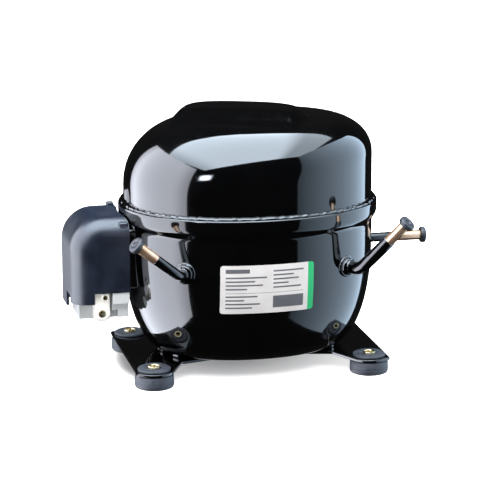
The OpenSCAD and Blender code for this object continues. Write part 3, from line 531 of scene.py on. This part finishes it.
shell = {
    "halfLength": 0.097, "halfDepth": 0.076, "planPower": 2.14, "wall": 0.003, "sides": 128,
    "bottom": 0.013, "floorRings": (0.1, 0.4, 0.75), "bellyTop": 0.090, "bellyDraft": 0.006,
    "draftPower": 1.3, "bellyRound": 0.032, "bellyPower": 2.6, "grow": 0.0005,
    "bandRings": (0.098, 0.107, 0.1135, 0.115),
    "flareFrom": 0.115, "flareRise": 0.008, "flareOut": 0.0036, "flareRings": (0.2, 0.4, 0.6, 0.8, 1),
    "rim": 0.132, "lip": ((0, -0.0022), (0, -0.0012), (-0.0003, -0.0005), (-0.0009, -0.0001), (-0.0016, 0)),
    "nest": 0.0003, "nestDown": (0, 0.0006, 0.0096), "ledge": 0.122, "skirtRings": (0.127, 0.1335, 0.1365),
    "domeTop": 0.1927, "shoulder": (0.1447, 0.1677), "flat": (0.47, 0.71),  # at the left and the right end
    "shoulderPower": 2.09, "shoulderEnd": 48, "crown": 0.0038,
    "padAt": (-0.0074, -0.0022), "padTurn": -24.6, "padSize": (0.109, 0.067), "padLift": 0.0077,
    "padRamp": 0.0075, "padFront": 0.030, "padPower": 3.3, "padEdge": 1.03,
}
turns = [2 * math.pi * i / shell["sides"] for i in range(shell["sides"])]


def ease(u):
    u = min(1, max(0, u))
    return u * u * (3 - 2 * u)


def signedPower(value, power):
    return math.copysign(abs(value) ** power, value)


def ovalPoint(turn, grow):
    power = 2 / shell["planPower"]
    x = (shell["halfLength"] + grow) * signedPower(math.cos(turn), power)
    return x, (shell["halfDepth"] + grow) * signedPower(math.sin(turn), power)


def ovalRing(grow, z):
    return [Vector((*ovalPoint(turn, grow), z)) for turn in turns]


def bellyInset(s):  # how far the wall has come in where the bowl is s of the way down
    f = math.asin(min(1, s ** (shell["bellyPower"] / 2)))
    rounding = 1 - max(0, math.cos(f)) ** (2 / shell["bellyPower"])
    return shell["bellyDraft"] * s ** shell["draftPower"] + shell["bellyRound"] * rounding


def bellyRing(degrees, thick):  # 0 at the belly's top, 90 at the floor
    s = math.sin(math.radians(degrees)) ** (2 / shell["bellyPower"])
    deep = shell["bellyTop"] - shell["bottom"] - thick
    inset = bellyInset(s) if degrees < 90 else shell["bellyDraft"] + shell["bellyRound"]
    return ovalRing(shell["grow"] - inset - thick, shell["bellyTop"] - deep * s)


def shoulderAt(share):  # height and flat part where x is this share of the half length
    mix = ease(0.5 + 0.5 * share)
    return [left + (right - left) * mix for left, right in (shell["shoulder"], shell["flat"])]


def padLift(x, y):
    turn = math.radians(shell["padTurn"])
    power = shell["padPower"]
    half = shell["padSize"][1] / 2
    dx, dy = x - shell["padAt"][0], y - shell["padAt"][1]
    u = (dx * math.cos(turn) + dy * math.sin(turn)) / (shell["padSize"][0] / 2)
    v = (dy * math.cos(turn) - dx * math.sin(turn)) / half
    r = (abs(u) ** power + max(0, v) ** power) ** (1 / power)
    rise = ease((v + 1) * half / shell["padFront"])
    return shell["padLift"] * ease((1 - r) * half / shell["padRamp"]) * rise


def domeHeight(x, y):
    power, m = shell["planPower"], shell["shoulderPower"]
    r = (abs(x / shell["halfLength"]) ** power + abs(y / shell["halfDepth"]) ** power) ** (1 / power)
    low, flat = shoulderAt(x / (shell["halfLength"] * max(r, 1e-6)))
    s = min(1, max(0, (r - flat) / (1 - flat)))
    height = low + (shell["domeTop"] - low) * (1 - s ** m) ** (1 / m)
    return height + shell["crown"] * (1 - min(1, r) ** 2) + padLift(x, y)


def shoulderPlan(turn, degrees):
    x, y = ovalPoint(turn, 0)
    flat = shoulderAt(x / shell["halfLength"])[1]
    part = flat + (1 - flat) * math.cos(math.radians(degrees)) ** (2 / shell["shoulderPower"])
    return x * part, y * part


def padPlan(turn, part):
    power = 2 / shell["padPower"]
    back = math.radians(shell["padTurn"])
    u = part * shell["padSize"][0] / 2 * signedPower(math.cos(turn - back), power)
    v = part * shell["padSize"][1] / 2 * signedPower(math.sin(turn - back), power)
    x = shell["padAt"][0] + u * math.cos(back) - v * math.sin(back)
    return x, shell["padAt"][1] + u * math.sin(back) + v * math.cos(back)


def onDome(points):
    return [Vector((x, y, domeHeight(x, y))) for x, y in points]


def makeLowerShell():
    wall, grow, out = shell["wall"], shell["grow"], shell["flareOut"]
    nest, rim, ledge = shell["nest"], shell["rim"], shell["ledge"]
    floor = ovalRing(grow - shell["bellyDraft"] - shell["bellyRound"], 0)
    rings = [[Vector((p.x * k, p.y * k, shell["bottom"])) for p in floor] for k in shell["floorRings"]]
    rings += [bellyRing(degrees, 0) for degrees in range(90, -1, -6)]
    rings += [ovalRing(grow, z) for z in shell["bandRings"]]
    for k in shell["flareRings"]:
        rings.append(ovalRing(grow + out * ease(k), shell["flareFrom"] + shell["flareRise"] * k))
    rings += [ovalRing(grow + (out + g), rim + z) for g, z in shell["lip"]]
    rings += [ovalRing(nest, rim - z) for z in shell["nestDown"]]
    rings += [ovalRing(nest, ledge), ovalRing(grow - wall, ledge)]
    rings += [bellyRing(degrees, wall) for degrees in range(0, 91, 15)]
    piece = growRings(rings, "poles")
    change(piece, "SUBSURF", levels=1, render_levels=1)
    smoothPiece(piece, 60)
    settle(piece, "lowerShell", "housing", "black_paint", "lower_shell")


def makeUpperShell():
    skirt, end, edge = shell["skirtRings"], shell["shoulderEnd"], shell["padEdge"]
    rings = [ovalRing(0, z) for z in (shell["ledge"], *skirt)]
    for k in (0.25, 0.5, 0.75, 1):
        ring = []
        for x, y in (ovalPoint(turn, 0) for turn in turns):
            low = shoulderAt(x / shell["halfLength"])[0]
            ring.append(Vector((x, y, skirt[-1] + (low - skirt[-1]) * k)))
        rings.append(ring)
    for degrees in range(4, end + 1, 4):
        rings.append(onDome([shoulderPlan(turn, degrees) for turn in turns]))
    for k in (0.1, 0.22, 0.34, 0.46, 0.58, 0.7, 0.82, 0.92):  # from the shoulder to the pad
        points = []
        for turn in turns:
            outer, inner = shoulderPlan(turn, end), padPlan(turn, edge)
            points.append([a + (b - a) * k for a, b in zip(outer, inner)])
        rings.append(onDome(points))
    ramp = 2 * shell["padRamp"] / shell["padSize"][1]
    parts = [edge - 1.3 * ramp * k / 10 for k in range(11)] + [0.6, 0.45, 0.3, 0.16, 0.06]
    rings += [onDome([padPlan(turn, part) for turn in turns]) for part in parts]
    piece = growRings(rings, "open")
    change(piece, "SUBSURF", levels=1, render_levels=1)
    change(piece, "SOLIDIFY", thickness=shell["wall"], offset=-1)
    smoothPiece(piece, 60)
    settle(piece, "upperShell", "housing", "black_paint", "upper_shell")


seam = {  # section in mm: outwards from the shell, up from the rim
    "section": ((2.7, -0.1), (2.6, 0.6), (2.2, 1.25), (1.4, 1.8), (0.5, 2.1), (-0.1, 2.2), (-0.3, 0.8),
                (0, -0.3), (1.4, -0.4)),
    "sides": 420, "waves": ((71, 0.11), (109, 0.08), (23, 0.06)),
}


def makeSeam():
    rings = [[] for _ in seam["section"]]
    for i in range(seam["sides"]):
        turn = 2 * math.pi * i / seam["sides"]
        ripple = 1 + sum(size * math.sin(count * turn) for count, size in seam["waves"])
        for ring, (g, z) in zip(rings, seam["section"]):
            lift = ripple if g > 0.1 and z > 0 else 1
            ring.append(Vector((*ovalPoint(turn, g * lift * mm), shell["rim"] + z * lift * mm)))
    piece = growRings(rings, "loop")
    change(piece, "SUBSURF", levels=1, render_levels=1)
    smoothPiece(piece, 70)
    settle(piece, "seamBead", "housing", "black_paint", "seam_weld")


# feet

feet = {
    "bolts": (170, 102), "plate": (10.5, 13.0), "plateRound": 0.7, "holeRadius": 8.0,
    "edge": 99.5, "corner": 9, "ear": 15.0, "earTurns": (62, 153), "neck": (60, 35), "inner": (30, 28),
    "tackTurns": (152, 168, 184, 208, 332, 356, 12, 28), "tackSpan": 9, "tackRadius": 2.6, "tackDown": 0.985,
    "tackOut": 0.4, "tackUp": 1.6, "tackSwell": (0.2, 0.72, 0.95, 0.86, 1, 0.88, 1, 0.7, 0.2),
    "rubber": ((4.95, 0), (13.4, 0), (14.5, 0.5), (15, 1.6), (15, 3.9), (14.75, 4.1), (14.75, 4.5), (15, 4.7),
               (14.9, 8.8), (14.5, 9.9), (13.4, 10.45), (8.0, 10.45), (8.0, 13.05), (12.1, 13.05),
               (12.6, 13.35), (12.7, 13.9), (12.4, 14.6), (11.4, 15.1), (7.4, 15.3), (6.7, 14.8),
               (4.95, 14.7)),
    "sleeve": ((3.3, 0), (3.6, 0), (4.9, 0.2), (4.9, 15.5), (5.0, 15.9), (4.8, 16.3), (3.7, 16.3),
               (3.4, 16.0), (3.3, 15.6)),
}


def makeBrackets():
    cx, cy = feet["bolts"][0] / 2, feet["bolts"][1] / 2
    half = [(feet["edge"], cy + feet["corner"])]
    first, last = feet["earTurns"]
    for k in range(15):
        a = math.radians(first + (last - first) * k / 14)
        half.append((cx + feet["ear"] * math.cos(a), cy + feet["ear"] * math.sin(a)))
    half += [feet["neck"], feet["inner"]]
    outline = half + [(x, -y) for x, y in reversed(half)]
    low, high = feet["plate"]
    radius = feet["holeRadius"]
    for name, node, way in (("rightBracket", "right_bracket", 1), ("leftBracket", "left_bracket", -1)):
        piece = flatPiece([(way * x * mm, y * mm, low * mm) for x, y in outline])
        bpy.ops.mesh.extrude_region_move(TRANSFORM_OT_translate={"value": (0, 0, (high - low) * mm)})
        facesOut()
        for side in (-1, 1):
            cutWith(piece, turned(((0.01, -1), (radius, -1), (radius, 5), (0.01, 5)),
                                  (way * cx * mm, side * cy * mm, low * mm), (0, 0, 1), 48, "poles"))
        roundEdges(piece, feet["plateRound"], 3)
        smoothPiece(piece, 35, True)
        settle(piece, name, "housing", "black_paint", node)


def makeTacks():  # short weld runs where the bowl stands on its brackets
    tacks = []
    swell = feet["tackSwell"]
    last = len(swell) - 1
    inset = shell["grow"] - bellyInset(feet["tackDown"]) + feet["tackOut"] * mm
    height = (feet["plate"][1] + feet["tackUp"]) * mm
    for middle in feet["tackTurns"]:
        spots = [math.radians(middle + feet["tackSpan"] * (k / last - 0.5)) for k in range(last + 1)]
        points = [Vector((*ovalPoint(a, inset), height)) for a in spots]
        rings = []
        for i, point in enumerate(points):
            along = points[min(i + 1, last)] - points[max(i - 1, 0)]
            rings.append(circleRing(point, along, feet["tackRadius"] * mm * swell[i], 20))
        tack = growRings(rings, "poles")
        change(tack, "SUBSURF", levels=1, render_levels=1)
        tacks.append(tack)
    piece = joinAll(tacks)
    smoothPiece(piece, 60)
    settle(piece, "bracketWelds", "housing", "black_paint")


def makeFeet():
    x, y = feet["bolts"][0] * mm, feet["bolts"][1] * mm
    for profile, kind, node, slotName in (
            ("rubber", "rubberFeet", "rubber_feet", "foot_rubber"),
            ("sleeve", "footSleeves", "foot_sleeves", "yellow_zinc")):
        first = turned(feet[profile], (x / 2, y / 2, 0), (0, 0, 1), 64)
        smoothPiece(first, 38)
        others = [copyPiece(first, move) for move in ((-x, 0, 0), (0, -y, 0), (-x, -y, 0))]
        settle(joinAll([first, *others]), kind, "housing", slotName, node)


# label

label = {
    "left": -37.8, "right": 34.2, "low": 59.0, "high": 97.0, "corner": 2.2, "thick": 0.25, "lift": 0.04,
    "columns": 36, "rows": 16, "stripe": 4.6, "rough": (0.32, 0.42), "colour": (0.575, 0.565, 0.57),
    "second": (0.62, 0.61, 0.615), "ink": (0.10, 0.105, 0.12), "green": (0.012, 0.40, 0.14),
    "bars": (  # plain ruled bars where such a label has its table: left, right, low, high
        (-34, -16, 91.0, 94.2), (-34, -3, 86.9, 88.1), (-34, -12, 83.9, 85.1), (-34, -6, 80.9, 82.1),
        (-34, -18, 77.9, 79.1), (-34, 26, 75.2, 75.5), (-34, -10, 72.0, 73.2), (-34, -20, 69.0, 70.2),
        (-34, -8, 66.0, 67.2), (-34, -14, 63.0, 64.2), (2, 26, 91.6, 92.8), (2, 18, 88.4, 89.6),
        (2, 22, 85.2, 86.4), (2, 14, 82.0, 83.2), (2, 24, 78.8, 80.0), (2, 26, 63.0, 72.6),
    ),
}


def frontOf(x, z, proud):  # y of the shell's front at this place
    s = max(0, (shell["bellyTop"] - z) / (shell["bellyTop"] - shell["bottom"]))
    grow = shell["grow"] - bellyInset(s) + proud
    power = shell["planPower"]
    return -(shell["halfDepth"] + grow) * (1 - abs(x / (shell["halfLength"] + grow)) ** power) ** (1 / power)


def makeLabel():
    left, right, low, high = (label[side] for side in ("left", "right", "low", "high"))
    clearSelection()
    middle = ((left + right) / 2 * mm, 0, (low + high) / 2 * mm)
    bpy.ops.mesh.primitive_plane_add(size=1, location=middle, rotation=(math.radians(90), 0, 0))
    piece = bpy.context.object
    piece.scale = ((right - left) * mm, (high - low) * mm, 1)
    bpy.ops.object.transform_apply(location=True, rotation=True, scale=True)
    bpy.ops.object.mode_set(mode="EDIT")
    selectAll()
    bpy.ops.mesh.bevel(offset=label["corner"] * mm, segments=6, affect="VERTICES")
    for count, start, end, along in (
            (label["columns"], left, right, Vector((1, 0, 0))),
            (label["rows"], low, high, Vector((0, 0, 1)))):
        for k in range(1, count):
            selectAll()
            bpy.ops.mesh.bisect(plane_co=along * (start + (end - start) * k / count) * mm, plane_no=along)
    bm = bmesh.from_edit_mesh(piece.data)
    for vert in bm.verts:
        vert.co.y = frontOf(vert.co.x, vert.co.z, label["lift"] * mm)
    bmesh.update_edit_mesh(piece.data)
    pick("FACE", lambda face: True)
    bpy.ops.object.mode_set(mode="OBJECT")
    if sum(face.normal.y for face in piece.data.polygons) > 0:
        editPiece(piece)
        selectAll()
        bpy.ops.mesh.flip_normals()
        bpy.ops.object.mode_set(mode="OBJECT")
    change(piece, "SOLIDIFY", thickness=label["thick"] * mm, offset=1)
    smoothPiece(piece, 40)
    settle(piece, "dataLabel", "housing", "label_film", "data_label", finish=makeLabelFilm())


def makeLabelFilm():
    material, tree, shader, coords = startMaterial("labelFilm")
    patches = placeGroup(tree, "blotches", coords, Scale=70.0).outputs["Mask"]
    colour = mixColour(tree, patches, label["colour"], label["second"])
    ink = None
    for place in label["bars"]:
        sides = zip(("Left", "Right", "Low", "High"), place)
        bar = placeGroup(tree, "print", coords, **{side: at * mm for side, at in sides}).outputs["Mask"]
        ink = addNode(tree, "Math", {0: ink, 1: bar}, "MAXIMUM").outputs[0] if ink else bar
    colour = mixColour(tree, ink, colour, label["ink"])
    edge = (label["right"] - label["stripe"]) * mm
    stripe = placeGroup(tree, "print", coords, Left=edge, Right=1.0, Low=0.0, High=1.0)
    colour = mixColour(tree, stripe.outputs["Mask"], colour, label["green"])
    setInputs(tree, shader, {"Base Color": colour, "Roughness": mixNumber(tree, patches, *label["rough"])})
    addGrain(tree, shader, coords, 0.05, shallow, Scale=500.0)
    return material


# tubes, copper ends and plugs

tubes = {  # profiles in mm: radius, distance along the tube
    "suction": {"turn": -50.4, "z": 88.0, "lead": 7.8, "way": (-37.4, 46.5), "run": 28.5, "steel": 4.9,
                "copper": 4.1, "stub": 17.8},
    "process": {"turn": 231.3, "z": 89.9, "lead": 4.1, "way": (-163.7, 38.4), "run": 20.2, "steel": 3.9,
                "copper": 4.0, "stub": 17.4},
    "discharge": {"turn": 9.0, "z": 90.5, "lead": 0, "way": None, "run": 26.0, "steel": 3.7,
                  "copper": 3.9, "stub": 22.5},
    "bendRadius": 12.0, "bendSteps": 12, "rootIn": 5.0, "pipeSides": 40, "sides": 48,
    "steelWall": 1.0, "copperWall": 0.9, "stemGap": 0.35,
    "lip": ((0, -0.6), (-0.2, -0.2), (-0.5, 0), (-0.9, 0), (-1.0, -0.4)),  # radius from the steel's
    "collar": ((7, -5), (7.0, 1.2), (6.9, 2.2), (6.5, 3.0), (5.9, 3.5)),
    "collarEnd": ((0.7, 3.7), (0.25, 4.2), (-0.1, 5.2)),  # radius from the steel's
    "bead": ((6.8, -3.0), (8.6, -0.8), (8.5, 0.1), (8.0, 0.75), (7.4, 1.1), (6.8, 1.2)),
    "stubEnd": ((0, -0.5), (-0.15, -0.1), (-0.45, 0), (-0.8, -0.1), (-0.9, -0.5)),  # from the copper's end
    "plugHead": ((5.9, 0.3), (6.25, 0.7), (6.3, 1.2), (6.3, 2.9), (6.1, 3.6), (5.6, 4.1), (4.9, 4.2),
                 (2.9, 4.2), (2.4, 3.9), (2.2, 3.3), (1.8, 2.9), (0.3, 2.8)),
}


def outwardAt(turn):  # the shell's outward direction in plan
    x, y = ovalPoint(turn, shell["grow"])
    power = shell["planPower"]
    nx = signedPower(x / shell["halfLength"], power - 1) / shell["halfLength"]
    ny = signedPower(y / shell["halfDepth"], power - 1) / shell["halfDepth"]
    return Vector((nx, ny, 0)).normalized()


def tubePath(tube):  # points from inside the shell to the steel's end, its direction there, root and way out
    turn = math.radians(tube["turn"])
    start = Vector((*ovalPoint(turn, shell["grow"]), tube["z"] * mm))
    root = tubes["rootIn"] * mm
    if tube["way"] is None:
        out = Vector((1, 0, 0))
        return [start - out * root, start, start + out * tube["run"] * mm], out, start, out
    out = outwardAt(turn)
    azimuth, rise = (math.radians(a) for a in tube["way"])
    to = Vector((math.cos(rise) * math.cos(azimuth), math.cos(rise) * math.sin(azimuth), math.sin(rise)))
    side = (to - out * out.dot(to)).normalized()
    bend = out.angle(to)
    radius, steps = tubes["bendRadius"] * mm, tubes["bendSteps"]
    corner = start + out * tube["lead"] * mm
    points = [start - out * root, start]
    for k in range(steps + 1):
        a = bend * k / steps
        points.append(corner + out * radius * math.sin(a) + side * radius * (1 - math.cos(a)))
    points.append(points[-1] + to * tube["run"] * mm)
    return points, to, start, out


def pipeRings(points, radius, count, last):
    rings = []
    for i, point in enumerate(points):
        before = points[max(i - 1, 0)]
        after = points[min(i + 1, len(points) - 1)]
        along = last if i == len(points) - 1 else (after - before)
        rings.append(circleRing(point, along, radius, count))
    return rings


def makeTubes():
    sides, wall, inside = tubes["pipeSides"], tubes["steelWall"], tubes["copperWall"]
    for name in ("process", "suction", "discharge"):
        tube = tubes[name]
        points, to, start, out = tubePath(tube)
        tip, steel = points[-1], tube["steel"]
        rings = pipeRings(points[:-1], steel * mm, sides, to)
        rings += [circleRing(tip + to * h * mm, to, (steel + r) * mm, sides) for r, h in tubes["lip"]]
        rings += pipeRings(points[:-1], (steel - wall) * mm, sides, to)[::-1]
        pipe = growRings(rings, "loop")
        smoothPiece(pipe, 40)
        profile = [(steel - 0.4, -tubes["rootIn"]), *tubes["collar"]]
        profile += [(steel + r, h) for r, h in tubes["collarEnd"]]
        collar = turned(profile, start, out, tubes["sides"])
        smoothPiece(collar, 50)
        bead = turned(tubes["bead"], start, out, tubes["sides"])
        smoothPiece(bead, 60)
        settle(joinAll([pipe, collar, bead]), name + "Tube", "housing", "black_paint", name + "_tube")

        copper, length = tube["copper"], tube["stub"]
        profile = [(copper - inside, 0), (copper, 0)]
        profile += [(copper + r, length + h) for r, h in tubes["stubEnd"]]
        stub = turned(profile, tip, to, tubes["sides"])
        smoothPiece(stub, 40)
        settle(stub, name + "Stub", "housing", "copper", name + "_stub")

        stem = copper - inside - tubes["stemGap"]
        profile = [(0.4, -9), (stem - 0.6, -9), (stem, -8), (stem, 0.3), *tubes["plugHead"]]
        plug = turned(profile, tip + to * length * mm, to, tubes["sides"], "poles")
        smoothPiece(plug, 45)
        settle(plug, name + "Plug", name + "_plug", "plug_rubber", name + "_plug")


# terminal cover and what is under it

cover = {
    "out": -143.0, "in": -91.0, "half": 28.0, "tail": 53.0, "top": 126.0, "wall": 2.0, "sealGap": 1.2,
    "frontRound": 13.0, "backRound": 4.0, "topRound": 24.0, "openAt": -98.5, "openTurn": 3,
    "nub": ((-107.6, 21.5, 124.3), (-101.9, 27, 128.6)), "lug": ((-106.5, -26.6, 110), (-99, -18, 123.4)),
    "cuts": (  # step, lower edge, arch and two slots
        ((-126, -40, 40), (-60, 40, 69)), ((-160, -40, 40), (-60, 3, 60.5)),
        ((-160, -15, 40), (-138, 3, 65.5)),
        ((-109.6, -30, 71.6), (-107.9, -27.4, 75.2)), ((-106.5, -30, 71.6), (-102.7, -27.4, 75.2))),
}


def shellPrism(grow, low, high):  # the shell's plan as a cutter
    piece = flatPiece(ovalRing(grow, low))
    bpy.ops.mesh.extrude_region_move(TRANSFORM_OT_translate={"value": (0, 0, high - low)})
    facesOut()
    return piece


def sideEdge(edge, way):  # between a flat side and the cover's outer faces
    normals = [face.normal for face in edge.link_faces]
    flat = [n for n in normals if n.y * way > 0.9]
    outer = [n for n in normals if abs(n.y) < 0.1 and n.z > -0.5 and n.x < 0.5]
    return len(flat) == 1 and len(outer) == 1


def onTopEdge(vert):
    return abs(vert.co.x - cover["out"] * mm) < 1e-6 and abs(vert.co.z - cover["top"] * mm) < 1e-6


def makeCover():
    half, top, bend, wall = cover["half"], cover["top"], cover["frontRound"], cover["wall"]
    piece = barPiece((cover["out"], -half, cover["tail"]), (cover["in"], half, top))
    editPiece(piece)
    pick("EDGE", lambda edge: all(onTopEdge(vert) for vert in edge.verts))
    bpy.ops.mesh.bevel(offset=cover["topRound"] * mm, segments=14)
    for way, size in ((-1, bend), (1, cover["backRound"])):
        pick("EDGE", lambda edge: sideEdge(edge, way))
        bpy.ops.mesh.bevel(offset=size * mm, segments=8)
    pick("FACE", lambda face: face.normal.z < -0.9 or face.normal.x > 0.9)
    bpy.ops.mesh.delete(type="FACE")
    bpy.ops.object.mode_set(mode="OBJECT")
    change(piece, "SOLIDIFY", thickness=wall * mm, offset=-1)

    nub, lug = barPiece(*cover["nub"]), barPiece(*cover["lug"])
    for catch, size in ((nub, 1.2), (lug, 1.6)):
        change(catch, "BEVEL", width=size * mm, segments=4)
    inner = bend - wall + 0.3  # the lug stays inside the cover's front rounding
    axis = (-0.12, (bend - half) * mm, (top - bend) * mm)
    cutWith(lug, turned(((0.01, 0), (inner, 0), (inner, 40), (0.01, 40)), axis, (1, 0, 0), 48, "poles"))
    cutWith(piece, nub, "UNION")
    cutWith(piece, lug, "UNION")

    gap = shell["grow"] + cover["sealGap"] * mm
    cutWith(piece, shellPrism(gap, 0, shell["flareFrom"] + 0.0005))
    cutWith(piece, shellPrism(gap + shell["flareOut"], shell["flareFrom"], 0.2))
    for low, high in cover["cuts"]:
        cutWith(piece, barPiece(low, high))
    opening = barPiece((0, -40, 40), (60, 90, 200))
    opening.location = (cover["openAt"] * mm, -half * mm, 0)
    opening.rotation_euler = (0, 0, math.radians(cover["openTurn"]))
    cutWith(piece, opening)
    editPiece(piece)
    selectAll()
    bpy.ops.mesh.remove_doubles(threshold=0.02 * mm)
    bpy.ops.mesh.dissolve_limited(angle_limit=math.radians(0.5))
    bpy.ops.object.mode_set(mode="OBJECT")
    smoothPiece(piece, 35, True)
    settle(piece, "terminalCover", "terminal_cover", "cover_plastic", "terminal_cover")


block = {
    "body": ((-136, -14, 46), (-99, 22, 69.2)), "strip": ((-112, -27, 60), (-99, -13.8, 68.5)),
    "cheek": ((-112, -22, 48), (-99, -13.8, 60.2)), "channel": ((-140, -16, 57), (-110, -4, 65)),
    "notch": ((-113, -24, 45), (-107.5, -13.9, 54)), "round": 0.5,
    "clamp": ((-126, -24, 47), (-113.5, -14.05, 68.4)), "clampRound": 1.2,
    # place, radius and screw's radius of the cord's boss and the earth's
    "bosses": (((-120.4, -28.0, 52.8), 6.2, 2.8), ((-117.7, -27.5, 65.4), 2.9, 1.9)),
}


def makeBlock():
    piece = barPiece(*block["body"])
    for part in ("strip", "cheek"):
        cutWith(piece, barPiece(*block[part]), "UNION")
    for part in ("channel", "notch"):
        cutWith(piece, barPiece(*block[part]))
    roundEdges(piece, block["round"], 2)
    smoothPiece(piece, 35, True)
    # the block takes the darker nylon copy, painted shade under the cover
    settle(piece, "terminalBlock", "housing", "white_nylon", "terminal_block", finish=finishes["shadedWhiteNylon"])

    clamp = barPiece(*block["clamp"])
    roundEdges(clamp, block["clampRound"], 3)
    smoothPiece(clamp, 35, True)
    parts, screws = [clamp], []
    for (x, y, z), r, head in block["bosses"]:
        spot = (x * mm, y * mm, z * mm)
        boss = turned(((0.3, 8), (r, 8), (r, 0.8), (r - 0.2, 0.3), (r - 0.7, 0), (head + 0.5, 0),
                       (head + 0.15, 0.3), (head + 0.1, 1.6), (0.3, 1.6)), spot, (0, 1, 0), 48, "poles")
        parts.append(boss)
        screw = turned(((0.3, 1.5), (head, 1.5), (head, 0.2), (head - 0.15, -0.15), (head - 0.6, -0.35),
                        (0.3, -0.5)), spot, (0, 1, 0), 40, "poles")
        cutWith(screw, barPiece((x - 0.45, y - 2, z - head - 1), (x + 0.45, y + 0.6, z + head + 1)))
        screws.append(screw)
        for made in (boss, screw):
            smoothPiece(made, 40)
    settle(joinAll(parts), "cordClamp", "housing", "white_nylon", "cord_clamp")
    settle(joinAll(screws), "clampScrews", "housing", "yellow_zinc", "clamp_screws")


# what gives between the shell and the pump that floats in it

springs = {"posts": (44, 24), "radius": 5.5, "wire": 1.6, "wireSides": 12, "turns": 6, "turnSteps": 32,
           "low": 18.0, "high": 56.0, "gap": 0.2}


def makeSprings():
    wire, low, high = springs["wire"], springs["low"], springs["high"]
    start, end = low + wire / 2 + springs["gap"], high - wire / 2 - springs["gap"]
    clearSelection()
    bpy.ops.mesh.primitive_circle_add(vertices=springs["wireSides"], radius=wire / 2 * mm,
                                      rotation=(math.radians(90), 0, 0))
    first = bpy.context.object
    bpy.ops.object.transform_apply(location=True, rotation=True, scale=True)
    editPiece(first)
    selectAll()
    bpy.ops.transform.translate(value=(springs["radius"] * mm, 0, start * mm))
    bpy.ops.object.mode_set(mode="OBJECT")
    change(first, "SCREW", axis="Z", screw_offset=(end - start) / springs["turns"] * mm,
           iterations=springs["turns"], steps=springs["turnSteps"], render_steps=springs["turnSteps"])
    editPiece(first)
    selectAll()
    bpy.ops.mesh.fill_holes(sides=0)
    facesOut()
    smoothPiece(first, 50)
    px, py = (value * mm for value in springs["posts"])
    coils = [copyPiece(first, (x, y, 0)) for x in (-px, px) for y in (-py, py)]
    bpy.data.objects.remove(first)
    piece = joinAll(coils)
    # the lower ends stay on the shell's seats while the pump sinks or lifts
    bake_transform(piece)
    settle(piece, "suspensionSprings", None, "steel", "suspension_springs")


def makeLine():  # a copy of the node's mesh that runs between the pump's head and the shell
    piece = bpy.data.objects.new("dischargeLine", nodes["discharge_line"].data.copy())
    bpy.context.collection.objects.link(piece)
    editPiece(piece)
    selectAll()
    bpy.ops.mesh.remove_doubles(threshold=0.001 * mm)
    bpy.ops.object.mode_set(mode="OBJECT")
    smoothPiece(piece, 60)
    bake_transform(piece)
    settle(piece, "dischargeLine", None, "copper", "discharge_line")


# floor

ground = {  # painted shade under the part and painted shadow beside its left bracket: middle, half sizes, start, least light
    "size": 9, "under": ((-0.0155, 0), (0.172, 0.128), 0, 0.2),
    "beside": ((-0.085, 0.012), (0.024, 0.062), 0.5, 0.2), "patch": 3.0,
    "colour": (0.92, 0.92, 0.93), "second": (0.94, 0.94, 0.94), "shade": (0.3, 0.3, 0.31),
}


# painted shade: the floor's glow fades towards the oval's middle
def ovalShade(tree, coords, middle, size, start, least):
    shrink = addNode(tree, "VectorMath", {
        0: coords.outputs["Object"], 1: (1 / size[0], 1 / size[1], 0),
        2: (-middle[0] / size[0], -middle[1] / size[1], 0)}, "MULTIPLY_ADD")
    far = addNode(tree, "VectorMath", {0: shrink.outputs[0]}, "LENGTH")
    fade = addNode(tree, "MapRange", {"Value": far.outputs["Value"], "From Min": start, "To Min": least})
    fade.interpolation_type = "SMOOTHSTEP"
    return fade.outputs["Result"]


def makeFloor():
    clearSelection()
    bpy.ops.mesh.primitive_plane_add(size=ground["size"])
    floor = bpy.context.object
    floor.name = "floor"
    material, tree, shader, coords = startMaterial("paleFloor")
    patches = placeGroup(tree, "blotches", coords, Scale=ground["patch"])
    colour = mixColour(tree, patches.outputs["Mask"], ground["colour"], ground["second"])
    # the floor's glow drops in both ovals and its colour darkens beside the left bracket: painted shade and
    # painted shadow
    under, beside = (ovalShade(tree, coords, *ground[place]) for place in ("under", "beside"))
    setInputs(tree, shader, {
        "Base Color": mixColour(tree, beside, ground["shade"], colour),
        "Roughness": 1.0, "Specular IOR Level": 0.0, "Emission Color": (1, 1, 1, 1),
        "Emission Strength": addNode(tree, "Math", {0: under, 1: beside}, "MULTIPLY").outputs[0]})
    floor.data.materials.append(material)
    floor.visible_glossy = False
    floor.visible_diffuse = False


clearSelection()
addCamera()
addStudio()
makeFloor()
print("studio set")
dressNodes()
makeLowerShell()
makeUpperShell()
makeSeam()
print("shells done")
makeBrackets()
makeTacks()
makeFeet()
print("feet done")
makeLabel()
makeTubes()
print("tubes done")
makeCover()
makeBlock()
print("terminal end done")
makeSprings()
makeLine()
print("springs and line done")
